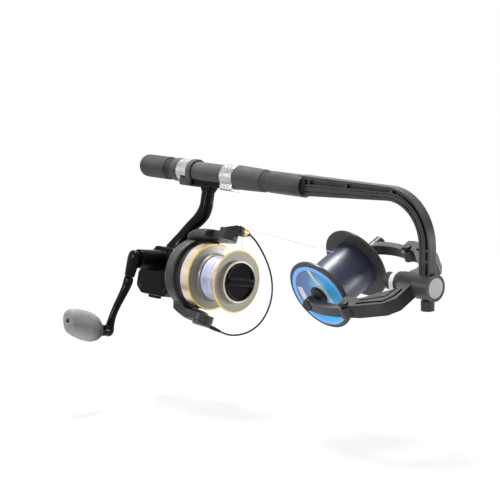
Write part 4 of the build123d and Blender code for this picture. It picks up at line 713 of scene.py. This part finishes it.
knob_stem = swept(
    [(0, y, -68, radius, radius) for y, radius in ((-53.0, 4.6), (-56.6, 4.8), (-57.4, 5.0), (-63.9, 5.2))],
    crank_frame, along, around=32, way=outwards,
)
folding_arm = skin("folding_arm", [arm_shell, knob_stem], "crank_arm", lacquer)
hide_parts("crank_arm")

# ---------------------------------------------------------------- crank knob
# Soft grey rubber moulded over a plastic core, flattened for finger and thumb, with steps
# round its root and a hole in its end for the screw that holds it on the spindle.
knob, knob_surface, knob_at = new_material("knob_rubber", Base_Color=(0.17, 0.17, 0.172), Roughness=0.7)
knob_tone = speckle(knob_at, 160, 4)
knob_grain = speckle(knob_at, 1800, 2)
knob_root, knob_drop, knob_length, knob_rise = -64.0, -68.0, 38.0, 7.0
knob_way = crank_frame.to_3x3() @ outwards
knob_start = (crank_frame @ (Vector((0, knob_root, knob_drop)) / 1000)).dot(knob_way)
knob_place = knob_at.node(
    "VectorMath", {"operation": "DOT_PRODUCT"}, {0: knob_at, 1: tuple(knob_way)}, out="Value"
)
grip_part = (knob_place - knob_start).above(0.009, 0.004)
knob_grey = (knob_tone * 0.9 + 0.05).mix((0.13, 0.13, 0.131), (0.26, 0.26, 0.262))
knob_at.feed(knob_surface.inputs["Base Color"], grip_part.mix((0.035, 0.035, 0.0355), knob_grey))
knob_at.feed(knob_surface.inputs["Roughness"], knob_tone * 0.2 + 0.58)
relief(knob_surface, knob_grain, 0.00006, 0.6)
step_depth, step_length = 0.8, 0.1
knob_shape = smooth_rows([
    (0.0, 5.8, 5.4), (0.04, 7.6, 6.8), (0.13, 10.4, 9.2), (0.28, 12.6, 10.8), (0.5, 13.0, 11.0),
    (0.74, 12.2, 10.2), (0.9, 11.0, 9.0), (0.97, 9.4, 7.4), (1.0, 7.0, 5.2),
], 8)
knob_rows = []
for share, half_wide, half_deep in knob_shape:
    stepped = 0.05 < share < 0.45
    step_cut = step_depth * (1 + cos(2 * pi * share / step_length)) if stepped else 0
    spot = 0, knob_root - knob_length * share, knob_drop + knob_rise * share
    knob_rows.append((*spot, half_wide - step_cut, half_deep - step_cut))
for share, radius in ((1.0, 2.5), (0.99, 2.1), (0.92, 2.0), (0.92, 0.3)):
    knob_rows.append((0, knob_root - knob_length * share, knob_drop + knob_rise * share, radius, radius))
knob_turn = radians(30)
knob_side = Vector((-sin(knob_turn), 0, cos(knob_turn)))
knob_shell = swept(knob_rows, crank_frame, knob_side, square=2.6, around=48, way=outwards)
knob_grip = skin("knob_grip", [knob_shell], "crank_knob", knob)
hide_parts("crank_knob")

# ---------------------------------------------------------------- small metal
# Pins, shafts and screws are steel, bright inside and blackened outside. The roller is
# gold plated, the gears inside are cut brass and the slider block is white acetal.
def fine_finish(name, scale, spread, least, nodes, **plain):
    """Gives nodes a material whose tool marks show only in how rough it is."""
    material, surface, at = new_material(name, **plain)
    at.feed(surface.inputs["Roughness"], speckle(at, scale) * spread + least)
    dress(material, *nodes)


fine_finish(
    "turned_steel", 900, 0.15, 0.2, ("plunger_spring", "fold_pin", "crank_shaft", "main_shaft"),
    Base_Color=(0.62, 0.62, 0.63), Metallic=1.0, Roughness=0.28,
)
fine_finish(
    "blackened_steel", 600, 0.2, 0.24, (
        "rear_plunger", "front_pivot_screw", "rear_pivot_screw", "cover_screws", "bail_pivots",
        "front_spindle", "knob_spindle",
    ),
    Base_Color=(0.02, 0.02, 0.021), Roughness=0.32, Specular_IOR_Level=0.15,
)
fine_finish(
    "gold_plate", 800, 0.12, 0.14, ("line_roller",),
    Base_Color=(0.85, 0.6, 0.2), Metallic=1.0, Roughness=0.2,
)
fine_finish(
    "cut_brass", 700, 0.15, 0.28, ("drive_gear", "pinion", "rotor_nut"),
    Base_Color=(0.66, 0.48, 0.2), Metallic=1.0, Roughness=0.35,
)
fine_finish(
    "acetal", 400, 0.15, 0.38, ("slider_block",),
    Base_Color=(0.72, 0.71, 0.67), Roughness=0.45,
)
# The spring closes up against its seat on the rear arm as the plunger is drawn back. Here it only gets a mesh
# of its own; the axis, anchor and share to keep worked out for it are not used.
spring_way = fork_frame.to_3x3() @ Vector((0, 1, 0))
spring_radius, plunger_travel = 0.00495, 0.008
spring_first, spring_last = (
    (corner[1] + side * spring_radius * spring_way.z) / spring_way.y
    for corner, side in zip(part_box("plunger_spring"), (1, -1))
)
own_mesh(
    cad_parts["plunger_spring"], "plunger_slide", axis=tuple(spring_way),
    anchor=tuple(fork_frame @ Vector((spool_x, spring_last, 0))),
    keep=1 - plunger_travel / (spring_last - spring_first),
)
